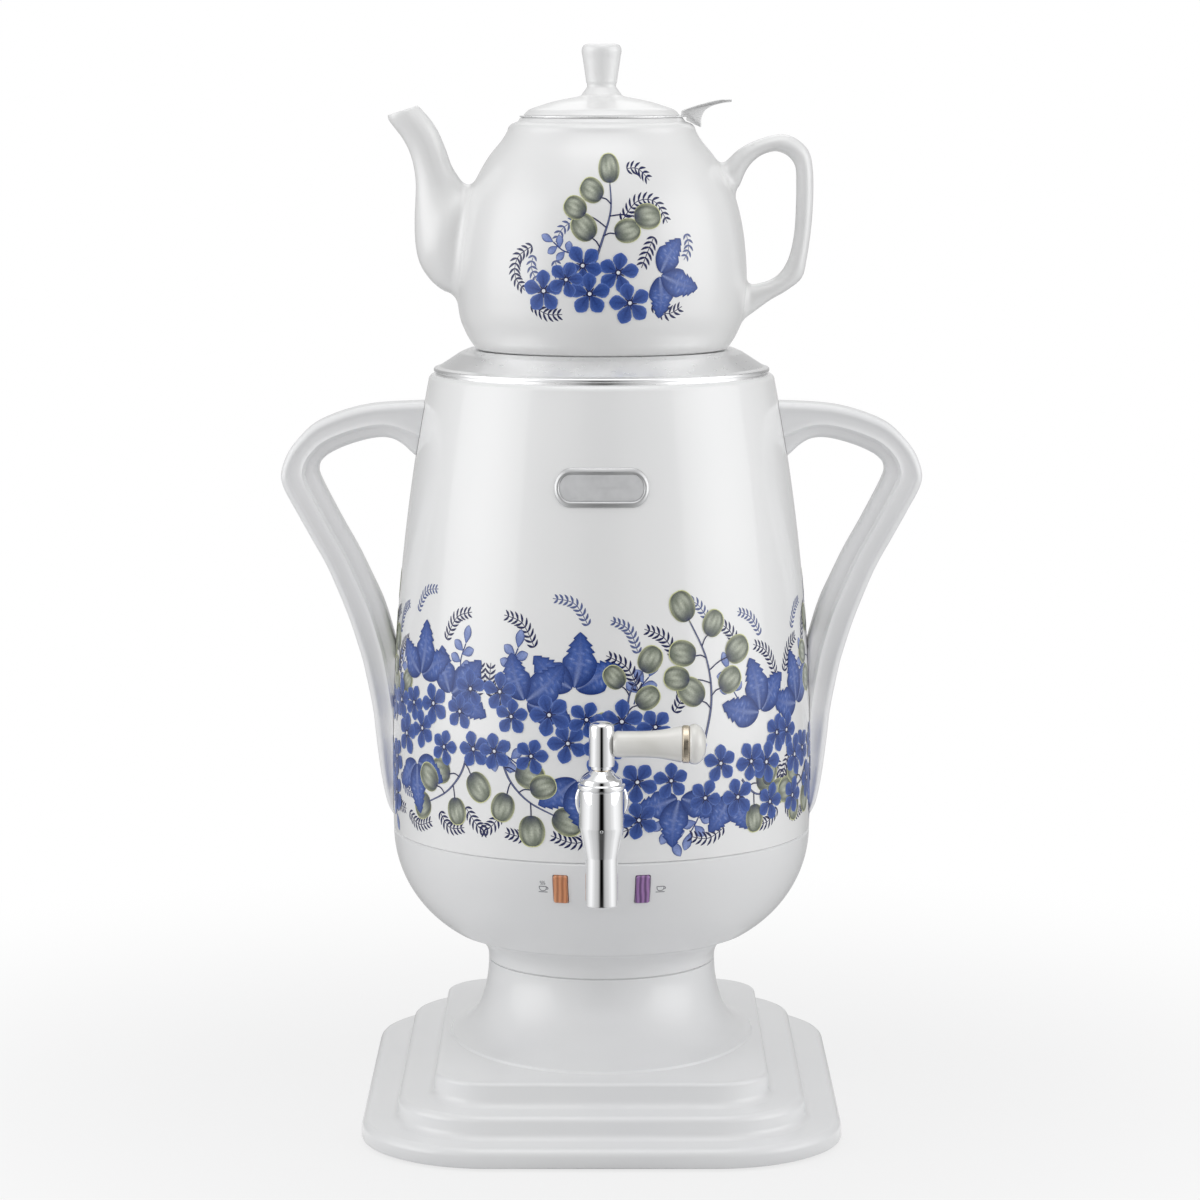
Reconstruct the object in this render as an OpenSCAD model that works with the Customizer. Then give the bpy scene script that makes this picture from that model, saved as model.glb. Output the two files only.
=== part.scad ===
// Electric samovar: a stepped base on rubber feet, a bowl with two lamps, a
// double-walled boiler with a lever tap and two side handles, a steel cover,
// and a porcelain teapot with a strainer and a lid.
// Millimetres. Z is up, the tap faces -Y, and the origin is on the table under
// the axis of the body.

/* [Base] */
// Width of the lowest step, side to side
base_w = 209; // [195:1:230]
// Depth of the lowest step, front to back
base_d = 270; // [256:1:300]
// Corner radius of the lowest step
base_corner_r = 57; // [50:1:66]
// Gap between the table and the rim of the base
base_gap = 1; // [0.6:0.1:1.6]
// Height of the lowest step
low_step_h = 8.5; // [7:0.5:12]
// Height of the middle step
mid_step_h = 10; // [8:0.5:14]
// Height of the top step
top_step_h = 10.5; // [8:0.5:14]
// Width of each tread
tread_w = 16; // [13:0.5:18]
// Chamfer along the top edge of each step
step_chamfer = 2.5; // [1:0.25:4]
// Radius of a rubber foot
foot_r = 9; // [7:0.5:12]
// Wall of the plastic mouldings
wall = 2.6; // [2:0.1:3.2]

/* [Pedestal] */
// Radius of the neck where it meets the bowl
neck_r = 51; // [48:0.5:54]
// Height of the neck above the top step
neck_h = 33.5; // [28:0.5:45]
// Tread left beside the flare, at the sides
flare_side_margin = 4.5; // [3:0.5:8]
// Tread left in front of and behind the flare
flare_front_margin = 16; // [10:0.5:24]

/* [Bowl] */
// Height of the bowl
bowl_h = 60.5; // [57:0.5:70]
// Height of the straight collar under the bowl
collar_h = 8; // [5:0.5:11]
// Radius at which the bowl's curve is centred
bowl_centre_r = 36.4; // [30:0.2:42]

/* [Body shell] */
// Height of the shell
shell_h = 204; // [198:1:230]
// Radius of the shell at its widest
belly_r = 93.9; // [90:0.1:98]
// Height of the widest place above the shell's lower edge
belly_up = 26; // [15:1:45]
// Room between the tank and the outside of the shell's top edge
top_room = 5.5; // [4.5:0.1:7.5]
// Radius of the rolled top edge
roll_r = 3; // [2:0.25:3.5]
// Thickness of the shell's sheet
shell_t = 1.2; // [0.8:0.1:1.5]

/* [Tank and heater] */
// Inner radius of the water tank
tank_r = 70.5; // [66:0.1:71]
// Thickness of the tank's sheet
tank_t = 1; // [0.8:0.1:1.2]
// Height of the tank's floor above the shell's lower edge
tank_floor_up = 6; // [4:0.5:12]
// Radius of the heater plate
heater_r = 58; // [50:1:62]
// Thickness of the heater plate
heater_t = 5; // [4.5:0.5:8]
// Radius of the heating ring
element_ring_r = 42; // [38:0.5:46]
// Radius of the heating rod
element_r = 3.4; // [3:0.1:4]

/* [Top cover] */
// How far the cover's rim reaches past the mouth of the tank
cover_rim = 4.1; // [3.5:0.1:5.5]
// Height of the teapot's seat above the shell's top edge
seat_up = 10.5; // [8:0.5:14]
// Radius of the seat for the teapot's foot
seat_r = 57.4; // [56.5:0.1:60]
// Radius of the steam hole
steam_r = 34; // [25:1:42]
// Thickness of the cover's sheet
cover_t = 1; // [0.8:0.1:1.2]

/* [Teapot] */
// Height of the pot from foot to mouth
pot_h = 102.5; // [98:0.5:112]
// Radius of the pot's foot
pot_foot_r = 55.5; // [52:0.5:56]
// Radius of the pot at its widest
pot_belly_r = 64.4; // [63:0.2:68]
// Height of the widest place above the foot
pot_belly_up = 32; // [30:0.5:38]
// Outer radius of the mouth's collar
mouth_r = 37; // [36:0.5:39]
// Thickness of the porcelain
pot_wall = 3.6; // [3:0.1:4]
// Half thickness of the pot's handle, front to back
pot_grip_r = 5.8; // [4.5:0.1:7]

/* [Strainer and lid] */
// Outer radius of the strainer's basket
basket_r = 29; // [26:0.5:30]
// Depth of the basket
basket_h = 56; // [40:1:62]
// Thickness of the strainer's wall
basket_t = 0.8; // [0.6:0.1:1]
// Height of the lid's dome
dome_h = 9.5; // [7:0.5:12]
// Height of the knob above the dome
knob_h = 22; // [16:0.5:28]
// Largest radius of the knob
knob_r = 8.8; // [6.5:0.1:10]

/* [Side handles] */
// How far a handle reaches past the belly of the shell
handle_reach = 48.6; // [42:0.2:56]
// Height of a handle's top above the shell's lower edge
handle_top = 191.5; // [184:0.5:194]
// Thickness of a handle, front to back
handle_t = 22; // [18:0.5:26]
// Rounding step along the edges of a handle
handle_edge = 3; // [2:0.25:4]

/* [Tap] */
// Distance from the body's axis to the tap's axis
tap_y = 118; // [114:0.5:124]
// Height of the tap's inlet above the shell's lower edge
tap_up = 28; // [24:0.5:36]
// Radius of the tap's barrel
barrel_r = 9.6; // [9:0.1:11]
// Height of the barrel
barrel_h = 18; // [16.5:0.5:22]
// Radius of the outlet's bore
outlet_r = 5; // [4:0.1:5.2]
// Length of the outlet tube
outlet_h = 21; // [16:0.5:26]
// Radius of the threaded shank
shank_r = 7; // [6.5:0.1:7.4]
// Radius of the tap's cap
cap_r = 5.4; // [5.2:0.1:6.2]
// Height of the cap
cap_h = 19; // [17:0.5:24]
// Length of the lever's ivory grip
grip_l = 28.5; // [22:0.5:36]

/* [Lamps, inlet and switch] */
// Width of a lamp lens
lens_w = 6.3; // [5:0.1:8]
// Height of a lamp lens
lens_h = 12.6; // [10:0.1:14]
// Distance of a lens from the middle
lens_x = 17.9; // [15:0.1:24]
// Width of the inlet's socket
inlet_w = 24.5; // [24:0.1:25]
// Height of the inlet's socket
inlet_h = 15.5; // [15:0.1:16]
// Width of the switch's rocker
rocker_w = 11.6; // [10:0.1:12]
// Half height of the switch's rocker
rocker_r = 9; // [8:0.1:9.4]

/* [Badge] */
// Width of the bare badge plate
badge_w = 46; // [36:1:56]
// Height of the bare badge plate
badge_h = 16.8; // [12:0.2:20]
// Height of the badge's middle above the shell's lower edge
badge_up = 161; // [140:1:176]
// Thickness of the badge plate
badge_t = 1.2; // [0.8:0.1:1.6]

/* [Hidden] */
$fn = 72;

// Clearances
slip = 0.3;      // between parts that lie beside each other
run = 0.05;      // radial clearance of a shaft that turns in its bore
tiny = 0.01;     // overlap of cuts

// Heights above the table, from the bottom up
z_rim = base_gap;
z_low = z_rim + low_step_h;
z_mid = z_low + mid_step_h;
z_top = z_mid + top_step_h;
z_neck = z_top + neck_h;
z_seam = z_neck + bowl_h;
z_belly = z_seam + belly_up;
z_shell = z_seam + shell_h;
z_floor = z_seam + tank_floor_up;
z_cover = z_shell + tank_t;
z_seat = z_shell + seat_up;
z_mouth = z_seat + pot_h;

// Top cover
cover_r = tank_r + cover_rim;

// Base
cover_plate_t = 2;
cover_plate_up = 1.5;
z_plate = z_rim + cover_plate_up;
screw_r = 1.45;
screw_head_h = 1.4;
screw_bite = 10;
boss_r = 4.5;
post_in = 43;
foot_in_x = 30;
foot_in_y = 36;
post_x = base_w / 2 - post_in;
post_y = base_d / 2 - post_in;
foot_x = base_w / 2 - foot_in_x;
foot_y = base_d / 2 - foot_in_y;
web_t = 3;
rod_r = 3;
rod_below = 14;
washer_t = 1.5;
nut_t = 5;
wire_hole_r = 6;
wire_hole_y = 24;

// Bowl and what sits in its wall
shell_top_r = tank_r + tank_t + top_room;
shell_arc_r = (pow(z_shell - roll_r - z_belly, 2) + pow(belly_r - shell_top_r, 2))
    / (2 * (belly_r - shell_top_r));
bowl_r = shell_r(z_seam);
curve_w = bowl_r - bowl_centre_r;
curve_end = acos((neck_r - bowl_centre_r) / curve_w);
curve_h = (bowl_h - collar_h) / sin(curve_end);
spigot_h = 5;
spigot_t = 1.6;
lens_depth = 8;
lens_proud = 0.8;
z_lens = z_seam - 11.6;
lamp_r = 2.2;
lamp_l = 12;
pad_sunk = 1.5;
pad_y = bowl_r - pad_sunk;
pad_up = 17;
z_pad = z_seam - pad_up;
pad_h = 26;
pad_x = [-38, 29];
pad_depth = 38.5;
switch_x = -27;
flange_t = 2;
inlet_wall = 1.5;
inlet_depth = 18;
pin_w = 4;
pin_t = 2;
pin_pitch = 7;
rocker_tilt = 9;
pivot_r = 1;
z_element = z_floor - tank_t - heater_t;
z_tab = z_element - 13;
z_bend = z_element - 24;
in_y = pad_y - inlet_depth - 8;

// Tap heights, from the shank's axis
z_tap = z_seam + tap_up;
z_barrel_top = z_tap + barrel_h / 2;
z_barrel_low = z_tap - barrel_h / 2;
z_outlet_top = z_barrel_low - 11;
z_outlet = z_outlet_top - outlet_h;
plug_r = 6.45;
stem_r = 3.5;
bonnet_h = 8.2;
z_cap = z_barrel_top + bonnet_h + 1.5;
lever_r = 5.6;
lever_end_r = 8.4;
z_lever = z_cap + cap_h / 2;
lever_rod_r = 2.2;
ring_l = 3;
bead_l = 7.2;
nut_h = 6;
gasket_t = 2;
shank_end = tank_r - 13;
pin_up = 5.5;

// Side handles: key points as [percent of the reach, percent of the handle's top height]
handle_out = [[-36, 100], [-22, 99.9], [2, 99.6], [26, 98.8], [46, 97.5], [65, 95.5], [80, 92.6],
    [93, 88.5], [100, 83.7], [98, 80.2], [88.5, 75.5], [59, 61.9], [37.5, 48.6], [25, 37.9],
    [17.5, 28.2], [14.5, 21.4], [10, 12.5], [4.5, 6], [-3, 2.6]];
handle_in = [[-30, 86.2], [-21, 88], [-12, 90.1], [-2, 91.5], [10, 91.8], [25, 91.1], [42, 89.7],
    [57, 87.8], [65, 85.7], [66.5, 84.1], [63, 81.6], [54, 76.5], [30, 65.5], [8, 53.5], [-2, 45.4],
    [-6, 40.7]];
screw_z = [z_seam + 0.945 * handle_top, z_seam + 0.324 * handle_top];
screw_reach = 8;
pan_r = 4;
pan_h = 2.4;

// Strainer's flange and tab
flange_h = 0.6;
tab_w = 11;

// Teapot outline as [radius, height above the foot], smoothed between the points
pot_line = [[pot_foot_r - 2, 0], [pot_foot_r + 0.8, 1], [pot_foot_r + 4.2, 6.5],
    [pot_belly_r - 1.6, pot_belly_up - 18], [pot_belly_r - 0.3, pot_belly_up - 8],
    [pot_belly_r, pot_belly_up], [pot_belly_r - 0.5, pot_belly_up + 10],
    [pot_belly_r - 1.9, pot_belly_up + 22], [pot_belly_r - 4.9, pot_h - 36],
    [pot_belly_r - 9.2, pot_h - 26.5], [pot_belly_r - 14.4, pot_h - 17.5],
    [mouth_r + 7.6, pot_h - 10.8], [mouth_r + 5, pot_h - 6.8], [mouth_r + 4, pot_h - 4.2],
    [mouth_r + 2.6, pot_h - 2.9], [mouth_r, pot_h - 2]];
// Spout and pot handle in their plane: pairs of points on the outer and the inner edge, as
// [outer distance from the axis, outer height above the foot, inner distance, inner height]
spout_edges = [[60, 24.5, 44, 52], [66.5, 24.6, 47, 57], [72.5, 27.6, 50, 61], [77.5, 32.8, 53, 64.5],
    [80.9, 39, 55, 67.5], [82.5, 47, 57, 70], [82.8, 57, 58.8, 71.3], [82.4, 66, 60.5, 73],
    [82.2, 73.5, 62.6, 75.3], [83.2, 81.5, 66.2, 81], [85.2, 88, 69, 88.8], [88.1, 93.4, 72.4, 96.6],
    [91.3, 97.6, 76, 102], [94, 101.2, 79.6, 106], [94.4, 103, 81, 107.4]];
spout_past_tip = [95, 106, 83, 110];
spout_flat = 0.8;
spout_wall = 2.4;
grip_edges = [[58, 10, 56, 28], [66.5, 15.8, 62, 28.5], [74.5, 21.6, 68.5, 29], [82, 26, 75.2, 31],
    [88.8, 31.7, 79.8, 34.8], [91, 40.5, 83.2, 41.4], [92.7, 52.5, 85.3, 51.5], [93.6, 65, 86, 63],
    [93.5, 78.5, 86.1, 74], [91.8, 87, 85.7, 80.4], [87.2, 92.2, 83.6, 84.2], [81, 94.9, 80.2, 86.6],
    [74.6, 94.3, 75.8, 87.4], [67.3, 91.9, 69.4, 85], [60.6, 88.3, 64.2, 79.5],
    [55.2, 83.3, 60.3, 71.2], [50, 79, 55, 67]];

// ---------- Functions ----------

// Radius of the shell's outside at a height: one large arc through the belly and the top
function shell_r(z) = belly_r - shell_arc_r + sqrt(pow(shell_arc_r, 2) - pow(z - z_belly, 2));

function blend(a, b, c, d, t) = 0.5 * (2 * b + (c - a) * t + (2 * a - 5 * b + 4 * c - d) * t * t
    + (3 * b - 3 * c + d - a) * t * t * t);
// Smooth curve through the points of p, with n steps between each pair
function curve(p, n) = let (last = len(p) - 1) concat([for (i = [0:last - 1], k = [0:n - 1])
    blend(p[max(i - 1, 0)], p[i], p[i + 1], p[min(i + 2, last)], k / n)], [p[last]]);
// Outline p moved sideways by d, to the left of its direction
function moved(p, d) = let (last = len(p) - 1) [for (i = [0:last])
    let (t = p[min(i + 1, last)] - p[max(i - 1, 0)], s = norm(t)) p[i] + d * [-t[1], t[0]] / s];
function backwards(p) = [for (i = [len(p) - 1:-1:0]) p[i]];
// Outline of a rectangle w by d with corners of radius r, anticlockwise
function rounded(w, d, r, n = 6) = [for (q = [0:3], k = [0:n])
    let (a = 90 * q + 90 * k / n, sx = q == 0 || q == 3 ? 1 : -1, sy = q < 2 ? 1 : -1)
    [sx * (w / 2 - r) + r * cos(a), sy * (d / 2 - r) + r * sin(a)]];
// Oval rings between two edges that lie in the XZ plane, thinned by a wall; side is 1 or -1
// along X, and the half thickness along Y is either a share of the height or one width
function ovals(edges, side, flat, width, thin, n) = [for (e = edges)
    let (mid = [e[0] + e[2], e[1] + e[3]] / 2, full = [e[0] - e[2], e[1] - e[3]] / 2,
        half = full * (1 - thin / norm(full)), w = (width > 0 ? width : norm(full) * flat) - thin)
    [for (k = [0:n - 1]) let (c = cos(360 * k / n))
        [side * (mid[0] + half[0] * c), w * sin(side * 360 * k / n), z_seat + mid[1] + half[1] * c]]];
// Rings of a round wire along 3D points; up is never along the wire
function wire_rings(p, r, up, n) = let (last = len(p) - 1) [for (i = [0:last])
    let (t = p[min(i + 1, last)] - p[max(i - 1, 0)], u = cross(t, up) / norm(cross(t, up)),
        v = cross(u, t) / norm(cross(u, t)))
    [for (k = [0:n - 1]) p[i] + r * (cos(360 * k / n) * u + sin(360 * k / n) * v)]];

// ---------- Shared shapes ----------

// Closed skin through rings of equal counts, each anticlockwise seen from its end
module skin(rings) {
    n = len(rings[0]);
    last = len(rings) - 1;
    sides = [for (i = [0:last - 1], k = [0:n - 1]) let (a = i * n + k, b = i * n + (k + 1) % n)
        each [[a, a + n, b], [b, a + n, b + n]]];
    ends = [[for (k = [0:n - 1]) k], [for (k = [n - 1:-1:0]) last * n + k]];
    polyhedron([for (r = rings) each r], concat(sides, ends), convexity = 6);
}

module slab(w, d, r, z0, z1) {
    translate([0, 0, z0]) linear_extrude(z1 - z0) polygon(rounded(w, d, r));
}

// One step of the base, chamfered along its top edge
module step_block(inset_by, z0, z1) {
    w = base_w - 2 * inset_by;
    d = base_d - 2 * inset_by;
    r = base_corner_r - inset_by;
    slab(w, d, r, z0, z1 - step_chamfer);
    hull() {
        slab(w, d, r, z1 - step_chamfer - 1, z1 - step_chamfer);
        slab(w - 2 * step_chamfer, d - 2 * step_chamfer, r - step_chamfer, z1 - 1, z1);
    }
}

// Flared neck from the top step to the bowl, drawn in by a wall of t
module flare(t, z_low_end, z_high_end) {
    foot_x_r = base_w / 2 - 2 * tread_w - flare_side_margin;
    foot_y_r = base_d / 2 - 2 * tread_w - flare_front_margin;
    n = 40;
    angles = [90, 78, 66, 54, 42, 30, 16, 0];
    ring = function (rx, ry, z) [for (k = [0:n - 1])
        [(rx - t) * cos(360 * k / n), (ry - t) * sin(360 * k / n), z]];
    body = [for (a = angles) let (f = 1 - cos(a)) ring(neck_r + (foot_x_r - neck_r) * f,
        neck_r + (foot_y_r - neck_r) * f, z_high_end - (z_high_end - z_top + t) * sin(a))];
    skin(concat([ring(foot_x_r, foot_y_r, z_low_end)], body));
}

// Solid of the shell's outside, grown by g, between two heights
module shell_solid(g, z0, z1, n = 14) {
    rotate_extrude() polygon(concat([[0, z0]], [for (i = [0:n]) let (z = z0 + (z1 - z0) * i / n)
        [shell_r(z) + g, z]], [[0, z1]]));
}

// Solid of the bowl, drawn in by a wall of t
module bowl_solid(t, z0) {
    end = acos((neck_r - t - bowl_centre_r) / (curve_w - t));
    rotate_extrude() polygon(concat([[0, z0], [neck_r - t, z0]],
        [for (i = [12:-1:0]) let (a = end * i / 12)
            [bowl_centre_r + (curve_w - t) * cos(a), z_seam - (curve_h - t) * sin(a)]],
        [[curve_w + bowl_centre_r - t, z_seam + (t > 0 ? spigot_h + 1 : 0)],
            [0, z_seam + (t > 0 ? spigot_h + 1 : 0)]]));
}

module at_posts() {
    for (x = [-post_x, post_x], y = [-post_y, post_y]) translate([x, y, 0]) children();
}

module along_y(y0, y1, r) {
    translate([0, y0, 0]) rotate([-90, 0, 0]) cylinder(r = r, h = y1 - y0);
}

module hexagon(r, h) {
    cylinder(r = r, h = h, $fn = 6);
}

// ---------- Base ----------

module feet() {
    color("dimgray") for (x = [-foot_x, foot_x], y = [-foot_y, foot_y])
        translate([x, y, 0]) cylinder(r = foot_r, h = z_plate);
}

module base_cover() {
    gap = wall + slip;
    color("gainsboro") difference() {
        slab(base_w - 2 * gap, base_d - 2 * gap, base_corner_r - gap, z_plate,
            z_plate + cover_plate_t);
        at_posts() translate([0, 0, z_plate - 1]) cylinder(r = screw_r + slip, h = cover_plate_t + 2);
        translate([0, 0, z_plate - 1]) cylinder(r = 3 * rod_r, h = cover_plate_t + 2);
    }
}

module cover_screws() {
    color("silver") at_posts() {
        translate([0, 0, z_plate - screw_head_h]) cylinder(r = 2 * screw_r, h = screw_head_h);
        translate([0, 0, z_plate - screw_head_h])
            cylinder(r = screw_r, h = cover_plate_t + screw_bite);
    }
}

module pedestal() {
    top_w = base_w - 4 * tread_w;
    top_d = base_d - 4 * tread_w;
    color("whitesmoke") difference() {
        union() {
            step_block(0, z_rim, z_low);
            step_block(tread_w, z_rim, z_mid);
            step_block(2 * tread_w, z_rim, z_top);
            flare(0, z_top - 1, z_neck);
        }
        difference() {
            union() {
                slab(base_w - 2 * wall, base_d - 2 * wall, base_corner_r - wall, 0, z_low - wall);
                slab(base_w - 2 * tread_w - 2 * wall, base_d - 2 * tread_w - 2 * wall,
                    base_corner_r - tread_w - wall, 0, z_mid - wall);
                slab(top_w - 2 * wall, top_d - 2 * wall, base_corner_r - 2 * tread_w - wall,
                    0, z_top - wall);
                flare(wall, z_top - wall - 1, z_neck - web_t);
            }
            at_posts() translate([0, 0, z_plate + cover_plate_t]) cylinder(r = boss_r, h = z_top);
        }
        at_posts() translate([0, 0, z_plate])
            cylinder(r = screw_r + run, h = cover_plate_t + screw_bite);
        translate([0, 0, z_neck - web_t - 1]) cylinder(r = rod_r + slip, h = web_t + 2);
        translate([0, wire_hole_y, z_neck - web_t - 1]) cylinder(r = wire_hole_r, h = web_t + 2);
    }
}

module tie_rod() {
    color("silver") translate([0, 0, z_neck - web_t - rod_below])
        cylinder(r = rod_r, h = z_floor - tank_t - z_neck + web_t + rod_below);
}

module tie_washer() {
    color("silver") translate([0, 0, z_neck - web_t - washer_t]) difference() {
        cylinder(r = 3 * rod_r, h = washer_t);
        translate([0, 0, -1]) cylinder(r = rod_r + run, h = washer_t + 2);
    }
}

module tie_nut() {
    color("silver") translate([0, 0, z_neck - web_t - washer_t - nut_t]) difference() {
        hexagon(1.9 * rod_r, nut_t);
        translate([0, 0, -1]) cylinder(r = rod_r + run, h = nut_t + 2);
    }
}

// ---------- Bowl ----------

// Places a shape on the bowl's front wall, square to it; side is -1 or 1
module on_bowl(side) {
    az = asin(lens_x / bowl_r);
    s = (z_seam - z_lens) / curve_h;
    tilt = atan(curve_w / curve_h * s / sqrt(1 - s * s));
    r = bowl_centre_r + curve_w * sqrt(1 - s * s);
    rotate([0, 0, side * az]) translate([0, -r, z_lens]) rotate([tilt, 0, 0]) children();
}

module lens_block(grow) {
    translate([-lens_w / 2 - grow, -lens_proud, -lens_h / 2 - grow])
        cube([lens_w + 2 * grow, lens_depth, lens_h + 2 * grow]);
}

module bowl() {
    color("whitesmoke") difference() {
        union() {
            bowl_solid(0, z_neck);
            translate([pad_x[0], pad_y - pad_depth, z_pad - pad_h / 2])
                cube([pad_x[1] - pad_x[0], pad_depth, pad_h]);
            translate([0, 0, z_seam - 1]) difference() {
                cylinder(r = bowl_r - shell_t - slip, h = spigot_h + 1);
                translate([0, 0, -1]) cylinder(r = bowl_r - shell_t - slip - spigot_t, h = spigot_h + 3);
            }
        }
        difference() {
            bowl_solid(wall, z_neck + web_t);
            translate([0, 0, z_seam - 4]) difference() {
                cylinder(r = bowl_r, h = spigot_h + 6);
                translate([0, 0, -1])
                    cylinder(r = bowl_r - shell_t - slip - spigot_t, h = spigot_h + 8);
            }
        }
        translate([pad_x[0], pad_y, z_pad - pad_h / 2]) cube([pad_x[1] - pad_x[0], pad_depth, pad_h]);
        for (side = [-1, 1]) on_bowl(side) translate([0, -4, 0]) scale([1, 2, 1]) lens_block(0.1);
        translate([-inlet_w / 2 - inlet_wall - 0.1, pad_y - 30, z_pad - inlet_h / 2 - inlet_wall - 0.1])
            cube([inlet_w + 2 * inlet_wall + 0.2, 31, inlet_h + 2 * inlet_wall + 0.2]);
        translate([switch_x - rocker_w / 2 - 1.4, pad_y - 30, z_pad - rocker_r - 1.4])
            cube([rocker_w + 2.8, 31, 2 * rocker_r + 2.8]);
        translate([0, 0, z_neck - 1]) cylinder(r = rod_r + slip, h = web_t + 2);
        translate([0, wire_hole_y, z_neck - 1]) cylinder(r = wire_hole_r, h = web_t + 2);
    }
}

module lens_boil() {
    color("chocolate") on_bowl(-1) lens_block(0);
}

module lens_warm() {
    color("indigo") on_bowl(1) lens_block(0);
}

module lamp(side) {
    color("lightyellow") on_bowl(side) translate([0, lens_depth - lens_proud, 0])
        rotate([-90, 0, 0]) cylinder(r = lamp_r, h = lamp_l);
}

module lamp_boil() {
    lamp(-1);
}

module lamp_warm() {
    lamp(1);
}

module power_inlet() {
    w = inlet_w + 2 * inlet_wall;
    h = inlet_h + 2 * inlet_wall;
    color("dimgray") translate([0, pad_y, z_pad]) difference() {
        union() {
            translate([-w / 2, -inlet_depth, -h / 2]) cube([w, inlet_depth + 1, h]);
            translate([-w / 2 - 2, 0, -h / 2 - 2]) cube([w + 4, flange_t, h + 4]);
        }
        translate([-inlet_w / 2, 2 - inlet_depth, -inlet_h / 2]) cube([inlet_w, inlet_depth + 4, inlet_h]);
        for (i = [-1:1]) translate([pin_pitch * i - pin_t / 2, -inlet_depth - 1, -pin_w / 2 - abs(i) + 1])
            cube([pin_t, 4, pin_w]);
    }
}

module inlet_pins() {
    color("silver") translate([0, pad_y, z_pad]) for (i = [-1:1])
        translate([pin_pitch * i - pin_t / 2, -inlet_depth - 8, -pin_w / 2 - abs(i) + 1])
            cube([pin_t, inlet_depth + 4, pin_w]);
}

module power_switch() {
    w = rocker_w + 2.6;
    h = 2 * rocker_r + 2.6;
    color("dimgray") translate([switch_x, pad_y, z_pad]) difference() {
        union() {
            translate([-w / 2, -14, -h / 2]) cube([w, 15, h]);
            translate([-w / 2 - 1.5, 0, -h / 2 - 1.5]) cube([w + 3, flange_t, h + 3]);
        }
        rotate([0, 90, 0]) cylinder(r = rocker_r + slip, h = rocker_w + 2 * slip, center = true);
        rotate([0, 90, 0]) cylinder(r = pivot_r + run, h = w - 0.6, center = true);
    }
}

module switch_rocker() {
    e = rocker_r - 0.6;
    color("black") translate([switch_x, pad_y, z_pad]) rotate([-rocker_tilt, 0, 0]) {
        rotate([90, 0, 90]) linear_extrude(rocker_w, center = true)
            polygon([[-4, -2], [-2, -e], [3.2, -e], [2.2, 0], [3.2, e], [-2, e], [-4, 2]]);
        rotate([0, 90, 0]) cylinder(r = pivot_r, h = rocker_w + 1.8, center = true);
    }
}

// ---------- Heater and wiring ----------

module heater_plate() {
    color("lightgray") difference() {
        translate([0, 0, z_element]) cylinder(r = heater_r, h = heater_t);
        translate([0, 0, z_element - 1]) cylinder(r = rod_r + 1, h = heater_t + 2);
        translate([0, 0, z_element]) rotate_extrude() translate([element_ring_r, 0]) circle(element_r + run);
    }
}

module heater_element() {
    color("dimgray") {
        translate([0, 0, z_element]) rotate([0, 0, 100]) rotate_extrude(angle = 340)
            translate([element_ring_r, 0]) circle(element_r);
        for (a = [102, 78]) rotate([0, 0, a]) translate([element_ring_r, 0, z_element - 16])
            cylinder(r = 2, h = 16);
    }
}

module thermostat(x) {
    translate([x, 0, z_element - 6]) cylinder(r = 8, h = 6);
    for (y = [-5, 5]) translate([x - 3, y - 0.4, z_element - 13]) cube([6, 0.8, 8]);
}

module boil_thermostat() {
    color("tan") thermostat(-20);
}

module warm_thermostat() {
    color("tan") thermostat(20);
}

module thermal_fuse() {
    color("gold") {
        translate([-6, -22, z_element - 2]) rotate([0, 90, 0]) cylinder(r = 2, h = 12);
        translate([-3, -26, z_element - 1.2]) cube([6, 8, 1.2]);
    }
}

module wire(points, up, tone) {
    color(tone) skin(wire_rings(curve(points, 4), 1.2, up, 8));
}

module live_wire() {
    wire([[-7, in_y, z_pad], [-7, in_y - 5, z_pad], [-12, in_y - 9, z_pad - 3], [-20, in_y - 9, z_pad - 5],
        [-27, in_y - 5, z_pad - 5], [-27, in_y + 3, z_pad - 5], [-27, pad_y - 14, z_pad - 5]],
        [0, 0, 1], "saddlebrown");
}

module neutral_wire() {
    e = element_ring_r;
    wire([[7, in_y, z_pad], [7, in_y - 6, z_pad], [9, in_y - 12, z_pad - 6],
        [e * cos(78), e * sin(78) + 9, z_bend - 4], [e * cos(78), e * sin(78) + 2.5, z_bend - 3],
        [e * cos(78), e * sin(78), z_bend + 1], [e * cos(78), e * sin(78), z_element - 20],
        [e * cos(78), e * sin(78), z_element - 16]], [1, 0, 0], "royalblue");
}

module switched_wire() {
    wire([[-27, pad_y - 14, z_pad + 5], [-27, pad_y - 20, z_pad + 5], [-26, 40, z_bend + 6],
        [-24, 18, z_bend], [-21, 7, z_bend + 1], [-20, 5, z_tab - 4], [-20, 5, z_tab]],
        [1, 0, 0], "saddlebrown");
}

// ---------- Tank, shell and badge ----------

// Round hole for the tap's shank, straight out to the front
module shank_hole(r) {
    translate([0, 0, z_tap]) along_y(-tap_y, -tank_r / 2, r);
}

module water_tank() {
    color("silver") difference() {
        rotate_extrude() polygon([[0, z_floor - tank_t], [tank_r + tank_t, z_floor - tank_t],
            [tank_r + tank_t, z_shell], [shell_top_r - roll_r - 0.2, z_shell],
            [shell_top_r - roll_r - 0.2, z_cover], [tank_r, z_cover], [tank_r, z_floor], [0, z_floor]]);
        shank_hole(shank_r + 0.1);
    }
}

module handle_holes(r) {
    for (side = [-1, 1], z = screw_z) translate([0, 0, z]) rotate([0, side * 90, 0])
        cylinder(r = r, h = shell_r(z) + screw_reach + slip);
}

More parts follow.
